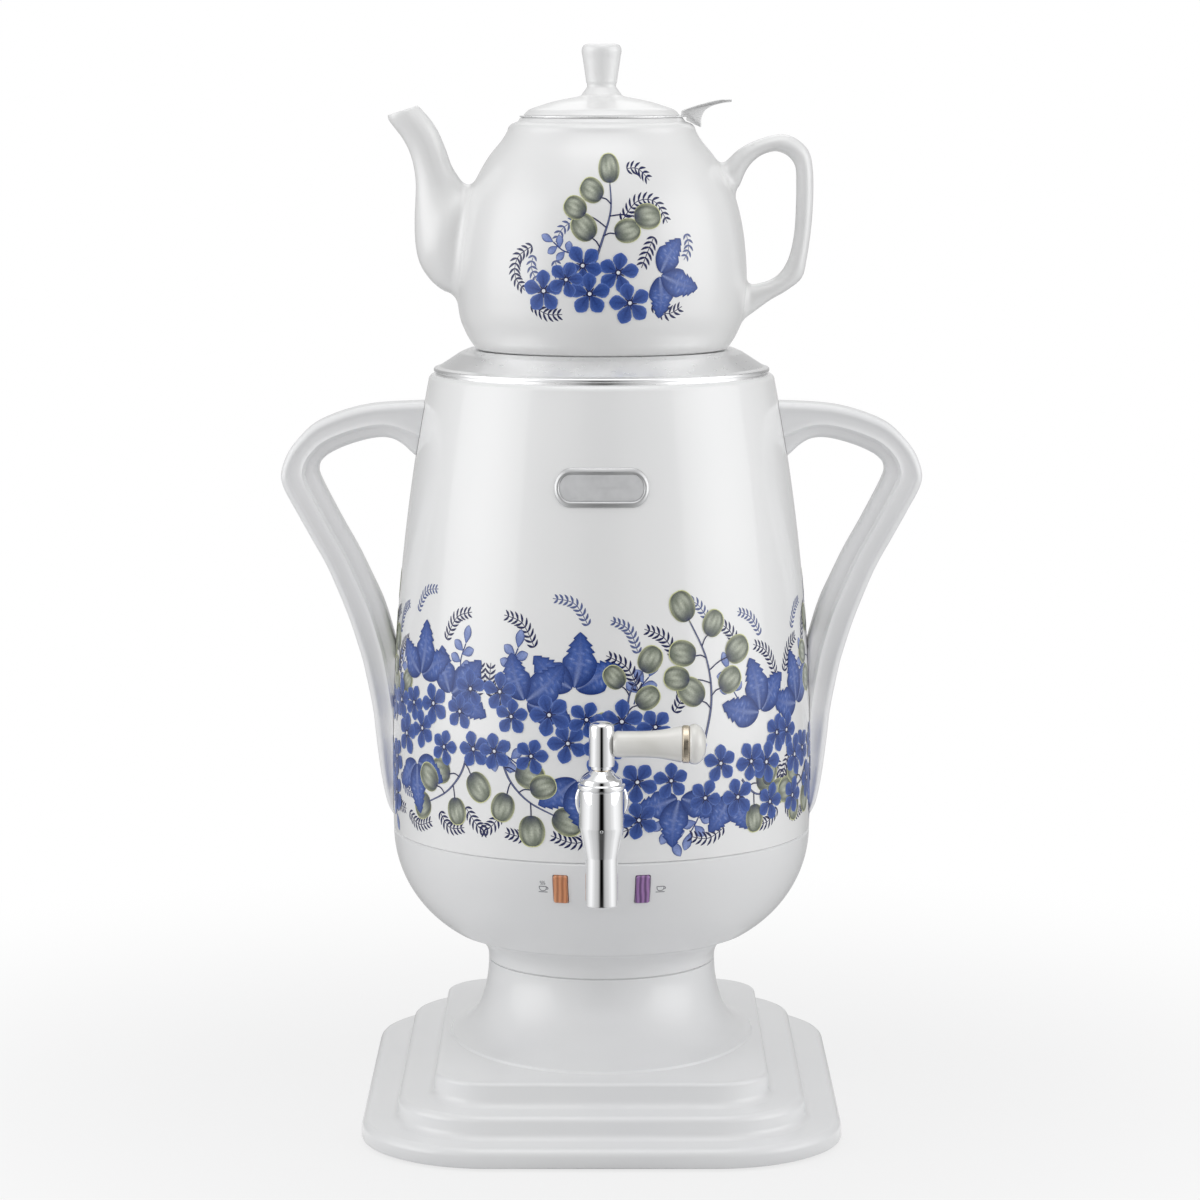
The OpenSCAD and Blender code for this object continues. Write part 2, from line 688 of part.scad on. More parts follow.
module body_shell() {
    n = 14;
    z_roll = z_shell - roll_r;
    lip = tank_r + tank_t + 0.2;
    outside = concat([for (i = [0:n]) let (z = z_seam + (z_roll - z_seam) * i / n) [shell_r(z), z]],
        [for (a = [22.5:22.5:90]) [shell_top_r - roll_r + roll_r * cos(a), z_roll + roll_r * sin(a)]]);
    inside = concat([[lip, z_shell], [lip, z_shell - shell_t]],
        [for (a = [90:-30:0]) [shell_top_r - roll_r + (roll_r - shell_t) * cos(a),
            z_roll + (roll_r - shell_t) * sin(a)]],
        [for (i = [n - 1:-1:0]) let (z = z_seam + (z_roll - z_seam) * i / n) [shell_r(z) - shell_t, z]]);
    color("white") difference() {
        rotate_extrude() polygon(concat(outside, inside));
        shank_hole(shank_r + 0.2);
        handle_holes(2.2);
    }
}

module badge_plate() {
    z_badge = z_seam + badge_up;
    r = badge_h / 2 - tiny;
    color("lightgray") intersection() {
        translate([0, -tap_y, z_badge]) rotate([-90, 0, 0]) linear_extrude(tap_y - belly_r / 2)
            polygon(rounded(badge_w, badge_h, r));
        difference() {
            shell_solid(badge_t, z_badge - badge_h, z_badge + badge_h, 4);
            shell_solid(0, z_badge - badge_h - 1, z_badge + badge_h + 1, 4);
        }
    }
}

// ---------- Side handles ----------

// Handle outline in [distance from the axis, height], drawn in by e on both sides
function handle_outline(e) = let (place = function (p) [for (q = p)
    [belly_r + q[0] * handle_reach / 100, z_seam + q[1] * handle_top / 100]])
    concat(moved(curve(place(handle_out), 3), -e), backwards(moved(curve(place(handle_in), 3), e)));

module handle(side) {
    color("gainsboro") difference() {
        scale([side, 1, 1]) rotate([90, 0, 0]) {
            linear_extrude(handle_t - 2 * handle_edge, center = true) polygon(handle_outline(0));
            linear_extrude(handle_t, center = true) polygon(handle_outline(handle_edge));
        }
        shell_solid(0, z_seam - 1, z_shell - roll_r);
        handle_holes(2);
    }
}

module handle_left() {
    handle(-1);
}

module handle_right() {
    handle(1);
}

module handle_screws() {
    color("silver") for (side = [-1, 1], z = screw_z) {
        x = shell_r(z + pan_r) - shell_t - slip;
        translate([0, 0, z]) rotate([0, side * 90, 0]) {
            translate([0, 0, x - pan_h]) cylinder(r = pan_r, h = pan_h);
            translate([0, 0, x - pan_h]) cylinder(r = 1.95, h = pan_h + shell_t + screw_reach);
        }
    }
}

// ---------- Tap ----------

module on_tap_axis() {
    translate([0, -tap_y, 0]) children();
}

module tap_body() {
    tube_r = outlet_r + 1.9;
    color("silver") difference() {
        union() {
            on_tap_axis() rotate_extrude() polygon([[0, z_outlet], [tube_r - 1, z_outlet],
                [tube_r - 0.3, z_outlet + 0.3], [tube_r, z_outlet + 1], [tube_r, z_outlet_top],
                [tube_r + 0.5, z_outlet_top + 1], [barrel_r - 0.3, z_barrel_low - 0.6],
                [barrel_r, z_barrel_low], [barrel_r, z_barrel_top], [0, z_barrel_top]]);
            translate([0, 0, z_tap]) along_y(-tap_y + 2, -shank_end, shank_r);
        }
        on_tap_axis() {
            translate([0, 0, z_outlet - 1]) cylinder(r = outlet_r, h = z_barrel_top - z_outlet);
            translate([0, 0, z_barrel_low - 4]) cylinder(r = plug_r + run, h = barrel_h + 5);
        }
        translate([0, 0, z_tap]) along_y(-tap_y, -shank_end + 1, 4.2);
        translate([0, 0, z_barrel_low - 4 + pin_up]) along_y(-tap_y - barrel_r - 1, -tap_y - 4, 1.1);
    }
}

module tap_bonnet() {
    color("silver") on_tap_axis() translate([0, 0, z_barrel_top]) difference() {
        rotate_extrude() polygon([[0, 0], [barrel_r + 0.1, 0], [barrel_r + 0.4, 0.8],
            [barrel_r + 0.4, 1.8], [barrel_r, 2.6], [barrel_r - 1.2, 4], [barrel_r - 3.4, 6],
            [stem_r + 0.9, bonnet_h], [0, bonnet_h]]);
        translate([0, 0, -1]) cylinder(r = stem_r + run, h = bonnet_h + 2);
    }
}

module tap_plug() {
    z0 = z_barrel_low - 3.6;
    z1 = z_barrel_top - slip;
    color("darkkhaki") on_tap_axis() difference() {
        union() {
            translate([0, 0, z0]) cylinder(r = plug_r, h = z1 - z0);
            translate([0, 0, z1 - 1]) cylinder(r = stem_r, h = z_cap + cap_h - 5 - z1 + 1);
        }
        translate([0, 0, z0 - 1]) cylinder(r = 4, h = z_tap - z0 + 1);
        translate([0, 0, z_tap]) rotate([0, -90, 0]) cylinder(r = 4, h = 10);
        translate([0, 0, z_barrel_low - 4 + pin_up - 1.3]) difference() {
            cylinder(r = plug_r + 1, h = 2.6);
            translate([0, 0, -1]) cylinder(r = plug_r - 0.9, h = 5);
        }
    }
}

module tap_pin() {
    color("dimgray") translate([0, 0, z_barrel_low - 4 + pin_up]) {
        along_y(-tap_y - barrel_r + 0.1, -tap_y - plug_r + 0.5, 1.05);
    }
}

module tap_cap() {
    color("silver") on_tap_axis() translate([0, 0, z_cap]) difference() {
        rotate_extrude() polygon([[0, -1.3], [4.3, -1.3], [4.3, 0], [cap_r - 0.4, 0], [cap_r, 0.4],
            [cap_r, cap_h - 2.6], [cap_r - 0.5, cap_h - 1.7], [cap_r - 1.7, cap_h - 0.7],
            [cap_r - 3.4, cap_h - 0.15], [0, cap_h]]);
        translate([0, 0, -2]) cylinder(r = stem_r + run, h = cap_h - 3);
        translate([0, 0, cap_h / 2]) rotate([0, 90, 0]) cylinder(r = lever_rod_r + run, h = 10);
    }
}

module on_lever() {
    translate([0, -tap_y, z_lever]) rotate([0, 90, 0]) children();
}

module lever_rod() {
    color("silver") on_lever() translate([0, 0, stem_r + run])
        cylinder(r = lever_rod_r, h = cap_r + grip_l + ring_l + 3 - stem_r);
}

module lever_grip() {
    x1 = cap_r + grip_l;
    tenon_r = lever_r - 0.6;
    grip_end_r = lever_end_r - 0.7;
    color("ivory") difference() {
        on_lever() rotate_extrude() polygon([[0, cap_r - 1.5], [tenon_r, cap_r - 1.5], [tenon_r, cap_r - 0.2],
            [lever_r, cap_r + 0.4], [lever_r, cap_r + 0.3 * grip_l],
            [lever_r + 0.2, cap_r + 0.55 * grip_l], [lever_r + 0.7, cap_r + 0.72 * grip_l],
            [grip_end_r - 0.5, cap_r + 0.9 * grip_l], [grip_end_r, x1 - 1], [grip_end_r, x1], [0, x1]]);
        on_tap_axis() translate([0, 0, z_cap - 1]) cylinder(r = cap_r, h = cap_h + 2);
        on_lever() cylinder(r = lever_rod_r + run, h = x1 + 1);
    }
}

module lever_ring() {
    color("peru") on_lever() translate([0, 0, cap_r + grip_l]) difference() {
        cylinder(r = lever_end_r - 0.4, h = ring_l);
        translate([0, 0, -1]) cylinder(r = lever_rod_r + run, h = ring_l + 2);
    }
}

module lever_bead() {
    z = cap_r + grip_l + ring_l;
    color("ivory") on_lever() difference() {
        rotate_extrude() polygon(concat([[0, z], [lever_end_r, z], [lever_end_r + 0.2, z + 1.2]],
            [for (a = [0:15:90]) [(lever_end_r - bead_l + 2.4) + (bead_l - 2.4) * cos(a),
                z + 2.4 + (bead_l - 2.4) * sin(a)]], [[0, z + bead_l]]));
        translate([0, 0, z - 1]) cylinder(r = lever_rod_r + run, h = 4.2);
    }
}

module tap_escutcheon() {
    color("silver") difference() {
        translate([0, 0, z_tap]) along_y(-shell_r(z_tap) - 2.6, -shell_r(z_tap) + 3, shank_r + 4.5);
        shell_solid(0, z_tap - 20, z_tap + 20, 4, $fn = 240);
        shank_hole(shank_r + 0.1);
    }
}

module tap_spacer() {
    color("silver") difference() {
        translate([0, 0, z_tap]) along_y(-shell_r(z_tap) + shell_t + 0.6, -tank_r - tank_t - gasket_t,
            shank_r + 2.5);
        shank_hole(shank_r + 0.1);
    }
}

module tap_gaskets() {
    outer_r = tank_r + tank_t;
    color("indianred") difference() {
        union() {
            difference() {
                translate([0, 0, z_tap]) along_y(-outer_r - gasket_t, -outer_r + 2, shank_r + 3);
                translate([0, 0, z_tap - 20]) cylinder(r = outer_r, h = 40);
            }
            intersection() {
                translate([0, 0, z_tap]) along_y(-tank_r - 1, -tank_r + gasket_t + 1, shank_r + 3);
                translate([0, 0, z_tap - 20]) cylinder(r = tank_r, h = 40);
            }
        }
        shank_hole(shank_r + 0.1);
    }
}

module tap_nut() {
    color("silver") difference() {
        translate([0, -tank_r + gasket_t + 1, z_tap]) rotate([-90, 0, 0]) hexagon(12.5, nut_h);
        shank_hole(shank_r + 0.1);
    }
}

// ---------- Cover and teapot ----------

module top_cover() {
    color("silver") rotate_extrude() polygon([[tank_r - 0.6, z_cover - 9], [tank_r - 0.6, z_cover],
        [cover_r, z_cover], [cover_r, z_cover + 1.4], [cover_r - 0.6, z_cover + 2],
        [cover_r - 3, z_cover + 2.6], [seat_r + 6, z_seat - 1.6], [seat_r + 0.8, z_seat + 0.5],
        [seat_r, z_seat], [steam_r + 2, z_seat], [steam_r, z_seat - 1.5], [steam_r, z_seat - 5],
        [steam_r + cover_t, z_seat - 5], [steam_r + cover_t, z_seat - 1.9],
        [steam_r + 2.4, z_seat - cover_t], [seat_r - 0.6, z_seat - cover_t],
        [seat_r + 5.6, z_seat - 1.6 - cover_t], [cover_r - 3.4, z_cover + 1.2],
        [tank_r - 0.6 - cover_t, z_cover + 1.2], [tank_r - 0.6 - cover_t, z_cover - 9]]);
}

module pot_outside() {
    line = curve(pot_line, 3);
    translate([0, 0, z_seat]) rotate([0, 0, 90]) rotate_extrude()
        polygon(concat([[0, 0]], line, [[mouth_r, pot_h], [0, pot_h]]));
}

module pot_inside() {
    line = moved(curve(pot_line, 3), pot_wall);
    kept = [for (p = line) if (p[1] > pot_wall + 0.5 && p[1] < pot_h - 6) p];
    floor_line = [[0, pot_wall], [pot_foot_r - 5, pot_wall]];
    mouth_line = [[mouth_r - pot_wall, pot_h - 6], [mouth_r - pot_wall, pot_h + 1], [0, pot_h + 1]];
    translate([0, 0, z_seat]) rotate([0, 0, 90]) rotate_extrude()
        polygon(concat(floor_line, kept, mouth_line));
}

module spout_bore() {
    skin(ovals(concat(curve(spout_edges, 2), [spout_past_tip]), -1, spout_flat, 0, spout_wall, 16));
}

module teapot() {
    color("white") difference() {
        pot_outside();
        pot_inside();
        spout_bore();
        translate([0, 0, z_seat - 1]) cylinder(r = pot_foot_r - 6, h = 2);
    }
}

module teapot_spout() {
    color("white") difference() {
        skin(ovals(curve(spout_edges, 2), -1, spout_flat, 0, 0, 20));
        pot_outside();
        spout_bore();
    }
}

module teapot_handle() {
    color("white") difference() {
        skin(ovals(curve(grip_edges, 2), 1, 0, pot_grip_r, 0, 12));
        pot_outside();
    }
}

module strainer() {
    z = z_mouth;
    rim_r = mouth_r - 0.8;
    row_pitch = 8;
    color("gainsboro") {
        difference() {
            union() {
                translate([0, 0, z - basket_h]) cylinder(r = basket_r, h = basket_h);
                translate([0, 0, z]) cylinder(r = rim_r, h = flange_h);
            }
            translate([0, 0, z - basket_h + basket_t]) cylinder(r = basket_r - basket_t, h = basket_h + 2);
            for (row = [1:5], k = [0:7]) translate([0, 0, z - basket_h + row_pitch * row])
                rotate([0, 90, 45 * k + 22.5 * (row % 2)]) cylinder(r = 1.2, h = basket_r + 2);
        }
        rotate([90, 0, 0]) linear_extrude(tab_w, center = true) translate([mouth_r, z])
            polygon([[-2, 0], [-2, flange_h], [-1.7, 2.9], [2.3, 4.3], [7, 5.7], [11.5, 6.9],
                [15.8, 7.7], [20.6, 7.9], [20.6, 6.6], [15.8, 6.1], [11.6, 5], [8.6, 3.2], [7.3, 1],
                [6.7, -1.6], [7, -4.8], [4.4, -3.4], [2, -2.2], [0.5, -1.4], [0.5, 0]]);
    }
}

module teapot_lid() {
    z = z_mouth + flange_h;
    r = mouth_r - 2.6;
    s = knob_r / 8.8;
    dome_line = [[0.985, 0.1], [0.96, 0.2], [0.93, 0.28], [0.88, 0.36], [0.8, 0.455], [0.72, 0.55],
        [0.637, 0.64], [0.53, 0.73], [0.4, 0.82], [0.3, 0.885]];
    color("white") difference() {
        translate([0, 0, z]) rotate_extrude() polygon(concat([[0, 0], [r, 0], [r, 0.4]],
            [for (p = dome_line) [p[0] * r, p[1] * dome_h]],
            [[knob_r + 0.4, dome_h - 0.7], [7.2 * s, dome_h + 1.7], [6.5 * s, dome_h + 3],
                [6.45 * s, dome_h + 3.9], [6.9 * s, dome_h + 6.1], [7.25 * s, dome_h + 0.4 * knob_h],
                [7.8 * s, dome_h + 0.55 * knob_h], [8.25 * s, dome_h + 0.69 * knob_h],
                [8.75 * s, dome_h + knob_h - 4.1], [knob_r, dome_h + knob_h - 3],
                [knob_r - 0.3, dome_h + knob_h - 1.6], [knob_r - 1.1, dome_h + knob_h - 0.5],
                [knob_r - 2.4, dome_h + knob_h], [0, dome_h + knob_h]]));
        translate([0, 0, z - 1]) cylinder(r1 = r - 6, r2 = 8, h = dome_h - 1.5);
    }
    color("white") translate([0, 0, z - 7]) difference() {
        cylinder(r = basket_r - basket_t - slip, h = 8);
        translate([0, 0, -1]) cylinder(r = basket_r - basket_t - slip - 3, h = 10);
    }
}

feet();
base_cover();
cover_screws();
pedestal();
tie_rod();
tie_washer();
tie_nut();
bowl();
lens_boil();
lens_warm();
lamp_boil();
lamp_warm();
power_inlet();
inlet_pins();
power_switch();
switch_rocker();
heater_plate();
heater_element();
boil_thermostat();
warm_thermostat();
thermal_fuse();
live_wire();
neutral_wire();
switched_wire();
water_tank();
body_shell();
badge_plate();
handle_left();
handle_right();
handle_screws();
tap_body();
tap_bonnet();
tap_plug();
tap_pin();
tap_cap();
lever_rod();
lever_grip();
lever_ring();
lever_bead();
tap_escutcheon();
tap_spacer();
tap_gaskets();
tap_nut();
top_cover();
teapot();
teapot_spout();
teapot_handle();
strainer();
teapot_lid();
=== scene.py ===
# %% [markdown]
# # An electric samovar, dressed piece by piece
# The samovar has a stepped plastic base, a round bowl with two lamps, an enamelled
# boiler with a lever tap and two side handles, a steel cover, and a porcelain
# teapot with its strainer and lid. Its construction comes as a imported model, the
# frame. Here each part that is seen gets its real surface: rounded edges, wall
# thickness, print and finish.
# The frame is loaded first.

# %% Load the frame
import cmath
import math

import bmesh
import bpy
import numpy as np
from mathutils import Matrix, Vector


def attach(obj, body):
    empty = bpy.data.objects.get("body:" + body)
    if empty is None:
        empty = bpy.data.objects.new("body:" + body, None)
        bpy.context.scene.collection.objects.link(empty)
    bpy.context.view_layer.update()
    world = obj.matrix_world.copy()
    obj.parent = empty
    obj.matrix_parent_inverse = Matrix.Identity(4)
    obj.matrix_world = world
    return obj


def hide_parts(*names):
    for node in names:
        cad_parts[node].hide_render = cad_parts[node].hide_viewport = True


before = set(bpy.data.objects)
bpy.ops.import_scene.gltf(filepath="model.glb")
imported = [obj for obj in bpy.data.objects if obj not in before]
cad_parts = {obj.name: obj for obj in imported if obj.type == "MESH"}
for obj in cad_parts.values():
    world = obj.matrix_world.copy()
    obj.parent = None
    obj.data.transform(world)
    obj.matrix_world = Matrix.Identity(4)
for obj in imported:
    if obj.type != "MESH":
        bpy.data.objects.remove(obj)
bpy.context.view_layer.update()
scene = bpy.context.scene

# %% [markdown]
# ## The camera
# A product camera stands a good distance off with a long lens, so that the base and
# the teapot are seen with little distortion. It looks slightly down, which shows the
# top of the cover and the treads of the base. A shorter lens nearby would frame the
# same picture, but the ellipses of the rims would open up too much.

# %% Camera
look_down = 7.4

camera_data = bpy.data.cameras.new("camera")
camera_data.lens = 120.8
camera_data.sensor_width = 36
camera = bpy.data.objects.new("camera", camera_data)
camera.location = (-0.0007, -1.790, 0.4585)
camera.rotation_euler = (math.radians(90 - look_down), 0, 0)
scene.collection.objects.link(camera)
scene.camera = camera
print("camera:", round(camera.location.length, 3), "m from the foot of the samovar")

# %% [markdown]
# ## Working in millimetres
# The pieces are drawn in millimetres, like a workshop drawing, and turned into metres
# only when a mesh is made. Most of the samovar is turned or pressed round an axis, so
# three small tools do most of the work: one rounds the corners of an outline, one
# spins an outline round the axis, and one skins a row of rings. A modifier could spin
# the outline too, but explicit rings keep every edge where the drawing puts it.

# %% Outline tools
MM = 0.001


def filleted(corners, steps=5):
    """Outline through (x, y) or (x, y, radius) corners, each radius turned into an arc."""
    path = []
    for i, corner in enumerate(corners):
        here = Vector(corner[:2])
        if len(corner) < 3 or i in (0, len(corners) - 1):
            path.append(here)
            continue
        back = Vector(corners[i - 1][:2]) - here
        ahead = Vector(corners[i + 1][:2]) - here
        half = back.angle(ahead) / 2
        reach = min(corner[2] / math.tan(half), 0.49 * back.length, 0.49 * ahead.length)
        radius = reach * math.tan(half)
        middle = (back.normalized() + ahead.normalized()).normalized()
        centre = here + middle * radius / math.sin(half)
        start = here + back.normalized() * reach - centre
        end = here + ahead.normalized() * reach - centre
        for k in range(steps + 1):
            arm = start.lerp(end, k / steps)
            path.append(centre + arm.normalized() * radius)
    return path


# %% Curves
def smooth(points, steps=6):
    """Curve that passes through every point, with the same number of steps between each pair."""
    p = [Vector(q) for q in points]
    path = []
    for i in range(len(p) - 1):
        a, b, c, d = p[max(i - 1, 0)], p[i], p[i + 1], p[min(i + 2, len(p) - 1)]
        for k in range(steps):
            t = k / steps
            path.append(0.5 * (2 * b + (c - a) * t + (2 * a - 5 * b + 4 * c - d) * t * t
                               + (3 * b - 3 * c + d - a) * t * t * t))
    return path + [p[-1]]


def bezier(a, b, c, d, steps=16):
    """Cubic curve from a to d, pulled towards b and c."""
    a, b, c, d = Vector(a), Vector(b), Vector(c), Vector(d)
    path = []
    for k in range(steps + 1):
        t = k / steps
        u = 1 - t
        path.append(a * u ** 3 + b * 3 * u * u * t + c * 3 * u * t * t + d * t ** 3)
    return path


def even(points, count):
    """The same path as tuples, with evenly spread points."""
    lengths = [0.0]
    for a, b in zip(points, points[1:]):
        lengths.append(lengths[-1] + (b - a).length)
    spots = np.linspace(0, lengths[-1], count)
    return list(zip(*(np.interp(spots, lengths, column) for column in zip(*points))))


# %% Turning and skinning
def turned(outline, closed=False, sides=160):
    """Points and faces of an outline of (radius, height) spun round the Z axis."""
    points, rings, faces = [], [], []
    for r, z in outline:
        if r < 1e-6:
            rings.append([len(points)] * sides)
            points.append((0, 0, z))
            continue
        rings.append(list(range(len(points), len(points) + sides)))
        for k in range(sides):
            a = 2 * math.pi * k / sides
            points.append((r * math.cos(a), r * math.sin(a), z))
    pairs = list(zip(rings, rings[1:])) + ([(rings[-1], rings[0])] if closed else [])
    for low, high in pairs:
        for k in range(sides):
            n = (k + 1) % sides
            corners = [low[k], low[n], high[n], high[k]]
            face = [c for i, c in enumerate(corners) if c not in corners[:i]]
            if len(face) > 2:
                faces.append(face)
    return points, faces


def skinned(rings, closed=False, caps=True):
    """Points and faces of a skin through rings with equal counts."""
    count = len(rings[0])
    points = [tuple(p) for ring in rings for p in ring]
    faces = []
    pairs = [(i, i + 1) for i in range(len(rings) - 1)]
    if closed:
        pairs.append((len(rings) - 1, 0))
    for a, b in pairs:
        for k in range(count):
            n = (k + 1) % count
            faces.append([a * count + k, a * count + n, b * count + n, b * count + k])
    if caps and not closed:
        faces.append(list(range(count))[::-1])
        faces.append([(len(rings) - 1) * count + k for k in range(count)])
    return points, faces


def add_part(points, faces, more):
    """Adds another set of points and faces to one mesh."""
    start = len(points)
    points.extend(more[0])
    faces.extend([[start + i for i in face] for face in more[1]])


# %% [markdown]
# ## From points to a piece
# Every piece is made the same way. Its points become a mesh in metres, the normals are
# turned outward, faces are shaded smooth and only true edges stay sharp. Then the piece
# gets its finish, rides on the body that carries it, and stands for the plain solids
# that it replaces.

# %% Making a piece
EDGE_ANGLE = math.radians(38)


def make_mesh(name, points, faces, place=None):
    """Mesh object in metres from points in millimetres."""
    mesh = bpy.data.meshes.new(name)
    move = place or Matrix.Identity(4)
    mesh.from_pydata([(move @ Vector(p)) * MM for p in points], [], faces)
    mesh.validate()
    shape = bmesh.new()
    shape.from_mesh(mesh)
    bmesh.ops.remove_doubles(shape, verts=shape.verts, dist=1e-6)
    bmesh.ops.recalc_face_normals(shape, faces=shape.faces)
    shape.to_mesh(mesh)
    shape.free()
    mesh.shade_smooth()
    mesh.set_sharp_from_angle(angle=EDGE_ANGLE)
    piece = bpy.data.objects.new(name, mesh)
    scene.collection.objects.link(piece)
    return piece


def lathe(name, outline, sides, closed=False, place=None):
    """Mesh object of an outline of (radius, height) in millimetres, spun round its axis."""
    return make_mesh(name, *turned(outline, closed, sides), place=place)


def fit(piece, finish, body, stands_for=()):
    """Gives a piece its finish, its body and the solids that it stands for."""
    piece.data.materials.clear()
    piece.data.materials.append(finish)
    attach(piece, body)
    if stands_for:
        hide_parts(*stands_for)
    print(f"{piece.name}: {len(piece.data.polygons)} faces on {body}")


# %% Cutting, thickening and placing
def cut(piece, cutters):
    """Takes the cutters out of a piece and deletes them."""
    for cutter in cutters:
        step = piece.modifiers.new("cut", "BOOLEAN")
        step.object = cutter
        step.operation = "DIFFERENCE"
        step.solver = "EXACT"
    bpy.context.view_layer.update()
    shape = piece.evaluated_get(bpy.context.evaluated_depsgraph_get())
    mesh = bpy.data.meshes.new_from_object(shape)
    piece.modifiers.clear()
    piece.data = mesh
    for cutter in cutters:
        bpy.data.objects.remove(cutter)
    mesh.shade_smooth()
    mesh.set_sharp_from_angle(angle=EDGE_ANGLE)
    return piece


def thickened(piece, thickness):
    """Gives an open sheet its thickness in millimetres, inward from its faces."""
    sheet = piece.modifiers.new("sheet", "SOLIDIFY")
    sheet.thickness = thickness * MM
    sheet.offset = -1
    return cut(piece, [])


def slide(x, y, z):
    """Move by a distance in each direction."""
    return Matrix.Translation((x, y, z))


def turn(degrees, axis):
    """Turn about an axis through the origin."""
    return Matrix.Rotation(math.radians(degrees), 4, axis)


# %% [markdown]
# ## The room that the chrome sees
# Polished metal has no look of its own: it shows the room. A product photographer
# stands the piece in a white tent. The camera looks in through a slot, which every
# shiny upright part shows as a dark line down its middle, and the tent is brightest at
# its sides and dim behind. Because the camera looks down a little, upright metal mirrors
# the floor as well, so floor and wall take their brightness from one table of headings.

# %% Node helpers for the stage
# Heading from the front in degrees, and how bright the tent looks there
TENT = [(0, 0.0), (6, 0.01), (10, 0.16), (15, 0.44), (24, 0.60), (36, 0.68), (48, 0.84), (64, 1.06),
        (77, 1.0), (90, 0.88), (105, 0.70), (122, 0.46), (145, 0.30), (162, 0.5), (180, 0.72)]


def node_math(tree, kind, *values):
    """A math node whose inputs are sockets or numbers."""
    node = tree.nodes.new("ShaderNodeMath")
    node.operation = kind
    for i, value in enumerate(values):
        if isinstance(value, (int, float)):
            node.inputs[i].default_value = value
        else:
            tree.links.new(value, node.inputs[i])
    return node.outputs[0]


def node_range(tree, value, start, end, low=0.0, high=1.0, kind="LINEAR"):
    """Runs from low to high while the value runs from start to end."""
    node = tree.nodes.new("ShaderNodeMapRange")
    node.interpolation_type = kind
    for name, number in (("From Min", start), ("From Max", end), ("To Min", low), ("To Max", high)):
        node.inputs[name].default_value = number
    tree.links.new(value, node.inputs["Value"])
    return node.outputs["Result"]


def ray_kinds(tree):
    """Two switches: rays that the camera sees by, also through glass, and mirrored rays."""
    ray = tree.nodes.new("ShaderNodeLightPath")
    seen = node_math(tree, "MAXIMUM", ray.outputs["Is Camera Ray"], ray.outputs["Is Transmission Ray"])
    return seen, ray.outputs["Is Glossy Ray"]


def tent_brightness(tree, vector):
    """Brightness of the tent in the heading of a vector, and the vector's height."""
    axes = tree.nodes.new("ShaderNodeSeparateXYZ")
    tree.links.new(vector, axes.inputs[0])
    side = node_math(tree, "ABSOLUTE", axes.outputs["X"])
    front = node_math(tree, "MULTIPLY", axes.outputs["Y"], -1)
    share = node_math(tree, "DIVIDE", node_math(tree, "ARCTAN2", side, front), math.pi)
    ramp = tree.nodes.new("ShaderNodeValToRGB")
    ramp.color_ramp.interpolation = "EASE"
    for i, (heading, level) in enumerate(TENT):
        spot = ramp.color_ramp.elements[i] if i < 2 else ramp.color_ramp.elements.new(1)
        spot.position = heading / 180
        spot.color = (level, level, level, 1)
    tree.links.new(share, ramp.inputs["Fac"])
    return ramp.outputs["Color"], axes.outputs["Z"]


# %% [markdown]
# ## The stage
# A pale floor, and white all round. To the light the floor is plain pale grey, but the
# camera sees it almost white, so that only the soft shadow under the base is left on
# it. Near the samovar a little more of the true floor shows.

# %% Floor
FLOOR_R = 6.0
SHADOW_R = 0.55
BASE_REACH = 0.12
NEAR_WHITE = 0.76

floor = lathe("floor", [(0, 0), (SHADOW_R / MM, 0), (FLOOR_R / MM, 0)], 96)
floor_finish = bpy.data.materials.new("floor")
floor_finish.use_nodes = True
tree = floor_finish.node_tree
tree.nodes.clear()
paint = tree.nodes.new("ShaderNodeBsdfDiffuse")
paint.inputs["Color"].default_value = (0.62, 0.62, 0.625, 1)
place = tree.nodes.new("ShaderNodeTexCoord")
far = tree.nodes.new("ShaderNodeVectorMath")
far.operation = "LENGTH"
tree.links.new(place.outputs["Object"], far.inputs[0])
fade = node_range(tree, far.outputs["Value"], BASE_REACH, SHADOW_R, NEAR_WHITE, 1.0, "SMOOTHSTEP")
seen, shiny = ray_kinds(tree)
share = node_math(tree, "MULTIPLY", node_math(tree, "MAXIMUM", seen, shiny), fade)
tent, _ = tent_brightness(tree, place.outputs["Object"])
glow = node_math(tree, "ADD", seen, node_math(tree, "MULTIPLY", shiny, tent))
white = tree.nodes.new("ShaderNodeEmission")
tree.links.new(glow, white.inputs["Strength"])
mixed = tree.nodes.new("ShaderNodeMixShader")
tree.links.new(share, mixed.inputs["Fac"])
tree.links.new(paint.outputs[0], mixed.inputs[1])
tree.links.new(white.outputs[0], mixed.inputs[2])
out = tree.nodes.new("ShaderNodeOutputMaterial")
tree.links.new(mixed.outputs[0], out.inputs["Surface"])
floor.data.materials.append(floor_finish)
print("floor:", FLOOR_R, "m in radius")

# %% [markdown]
# ## The tent itself
# The world round the samovar plays three parts. Matt surfaces get one even soft light.
# Shiny ones see the tent's walls, its plain top and a soft box straight above. The
# camera, and whatever it sees through glass, gets plain white.

# %% World
SOFT_LIGHT = 0.67
TOP_BOX = 0.5
OVERHEAD = 0.75
TOP_FROM, TOP_FULL = 0.45, 0.75
BOX_FROM, BOX_FULL = 0.86, 0.985

